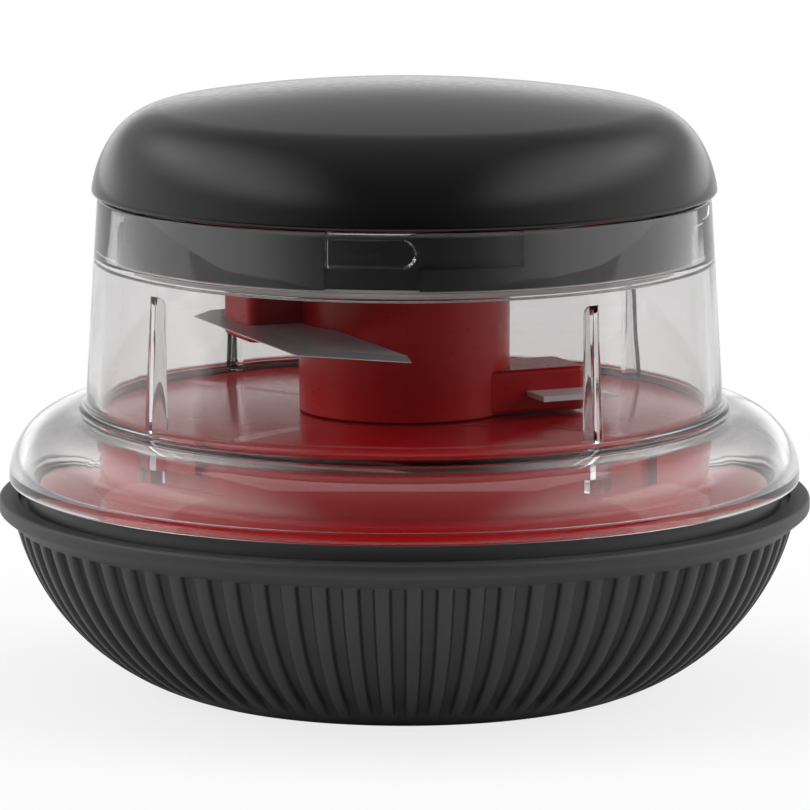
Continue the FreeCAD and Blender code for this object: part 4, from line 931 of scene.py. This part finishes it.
# Corners before the blade is turned: across from its root to its long edge, and along from its
# heel to its slanted tip. The grind begins at the corners of the flat top.
BLADE_CORNERS = ((15.0, -21.0), (28.5, -20.5), (28.5, 24.4), (15.0, 38.0))
TOP_CORNERS = ((15.0, -21.0), (25.3, -20.62), (25.3, 25.92), (15.0, 36.29))


def blade(name, level, turn):
    """A flat strip with a ground long edge and a ground slanted tip."""
    made = bmesh.new()
    low = [made.verts.new((x, y, level)) for x, y in BLADE_CORNERS]
    edge = [made.verts.new((x, y, level + blade_edge)) for x, y in BLADE_CORNERS[1:]]
    high = [made.verts.new((x, y, level + blade_thick)) for x, y in TOP_CORNERS]
    flat = [low, high, (low[0], low[1], edge[0], high[1], high[0]),
            (low[3], low[0], high[0], high[3], edge[2])]
    ground = [(low[1], low[2], edge[1], edge[0]), (low[2], low[3], edge[2], edge[1]),
              (edge[0], edge[1], high[2], high[1]), (edge[1], edge[2], high[3], high[2])]
    for group, kind in ((flat, 0), (ground, 1)):
        for corners in group:
            made.faces.new(corners).material_index = kind
    bmesh.ops.rotate(made, verts=made.verts, cent=(0, 0, 0),
                     matrix=Matrix.Rotation(math.radians(turn), 3, "Z"))
    bmesh.ops.recalc_face_normals(made, faces=made.faces)
    return piece_from(name, made)


for name, level, turn in (("upper_blade", upper_level, hub_azimuth),
                          ("lower_blade", lower_level, hub_azimuth - 180)):
    strip = blade(name + "_strip", level, turn)
    # Brushed stainless: the fine lines scatter the light, so it looks pale and nearly even.
    strip.data.materials.append(
        brushed("brushed_stainless_" + name, "#fbfcfc", 0.45, 6.0, 0.12, turn, 0.0006, 0.15))
    # Ground stainless: short scratches square to the edge, which sparkle.
    strip.data.materials.append(
        brushed("ground_stainless_" + name, "#eef0ef", 0.36, 0.15, 2.0, turn, 0.004, 0.6))
    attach(strip, "rotor")
    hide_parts(name)


# Return spring: round spring steel wire wound in six turns between the lid's floor and the
# plunger.

coil_radius, wire_radius, coil_turns, coil_low, coil_high = 16.0, 0.7, 6, 72.55, 87.25
turn_steps, wire_sides = 48, 12
made = bmesh.new()
steps = coil_turns * turn_steps
climb = (coil_high - coil_low) / (coil_turns * math.tau)
lean = math.atan2(climb, coil_radius)
rings = []
for step in range(steps + 1):
    angle = step * coil_turns * math.tau / steps
    out = Vector((math.cos(angle), math.sin(angle), 0))
    way = Vector((-math.sin(angle) * math.cos(lean), math.cos(angle) * math.cos(lean),
                  math.sin(lean)))
    centre = out * coil_radius + Vector((0, 0, coil_low + climb * angle))
    ring = []
    for side in range(wire_sides):
        round_wire = math.tau * side / wire_sides
        ring.append(made.verts.new(centre + wire_radius * (
            out * math.cos(round_wire) + way.cross(out) * math.sin(round_wire))))
    rings.append(ring)
for near, far in zip(rings, rings[1:]):
    for side in range(wire_sides):
        other = (side + 1) % wire_sides
        made.faces.new((near[side], near[other], far[other], far[side]))
made.faces.new(rings[0])
made.faces.new(rings[-1])
bmesh.ops.recalc_face_normals(made, faces=made.faces)
spring = smooth(piece_from("coiled_return_spring", made), 50.0)
# Drawn spring wire: a dark, smooth steel with faint lines from the die.
spring.data.materials.append(brushed("drawn_spring_wire", "#8d9092", 0.28, 0.1, 3.0, 0.0, 0.001))
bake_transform(spring)
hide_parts("return_spring")


# Spiral shaft, its clip and thrust washer, driver pin, spindle pin and all the screws: plain
# machined steel. The shaft is a square bar that is twisted and then ground at its journal.

# Machined steel: bright grey, with fine lines left by the tool.
machined = brushed("machined_steel", "#a9abad", 0.3, 2.0, 0.25, 0.0, 0.002)
coated(("spiral_shaft", "shaft_clip", "thrust_washer", "driver_pin", "spindle_pin", "cap_screws",
        "guide_screws", "plate_screws"), machined)


# Drive nut: turned brass with a square bore that follows the twisted shaft. It is seated in the
# plunger's tube.

# Machined brass: a warm yellow metal with a soft turned sheen.
turned_brass = brushed("machined_brass", "#c9a255", 0.28, 2.0, 0.25, 0.0, 0.002)
coated(("drive_nut",), turned_brass)


# Shaft bush, hub bush, nut retainer and clutch driver: natural acetal, the slippery plastic of
# small bearings.

# Natural acetal: an off-white that scatters light a little and has a waxy sheen.
acetal = moulded("natural_acetal", "#e3dfd2", 0.38, 0.5, 0.001)
coated(("shaft_bush", "hub_bush", "nut_retainer", "clutch_driver"), acetal)
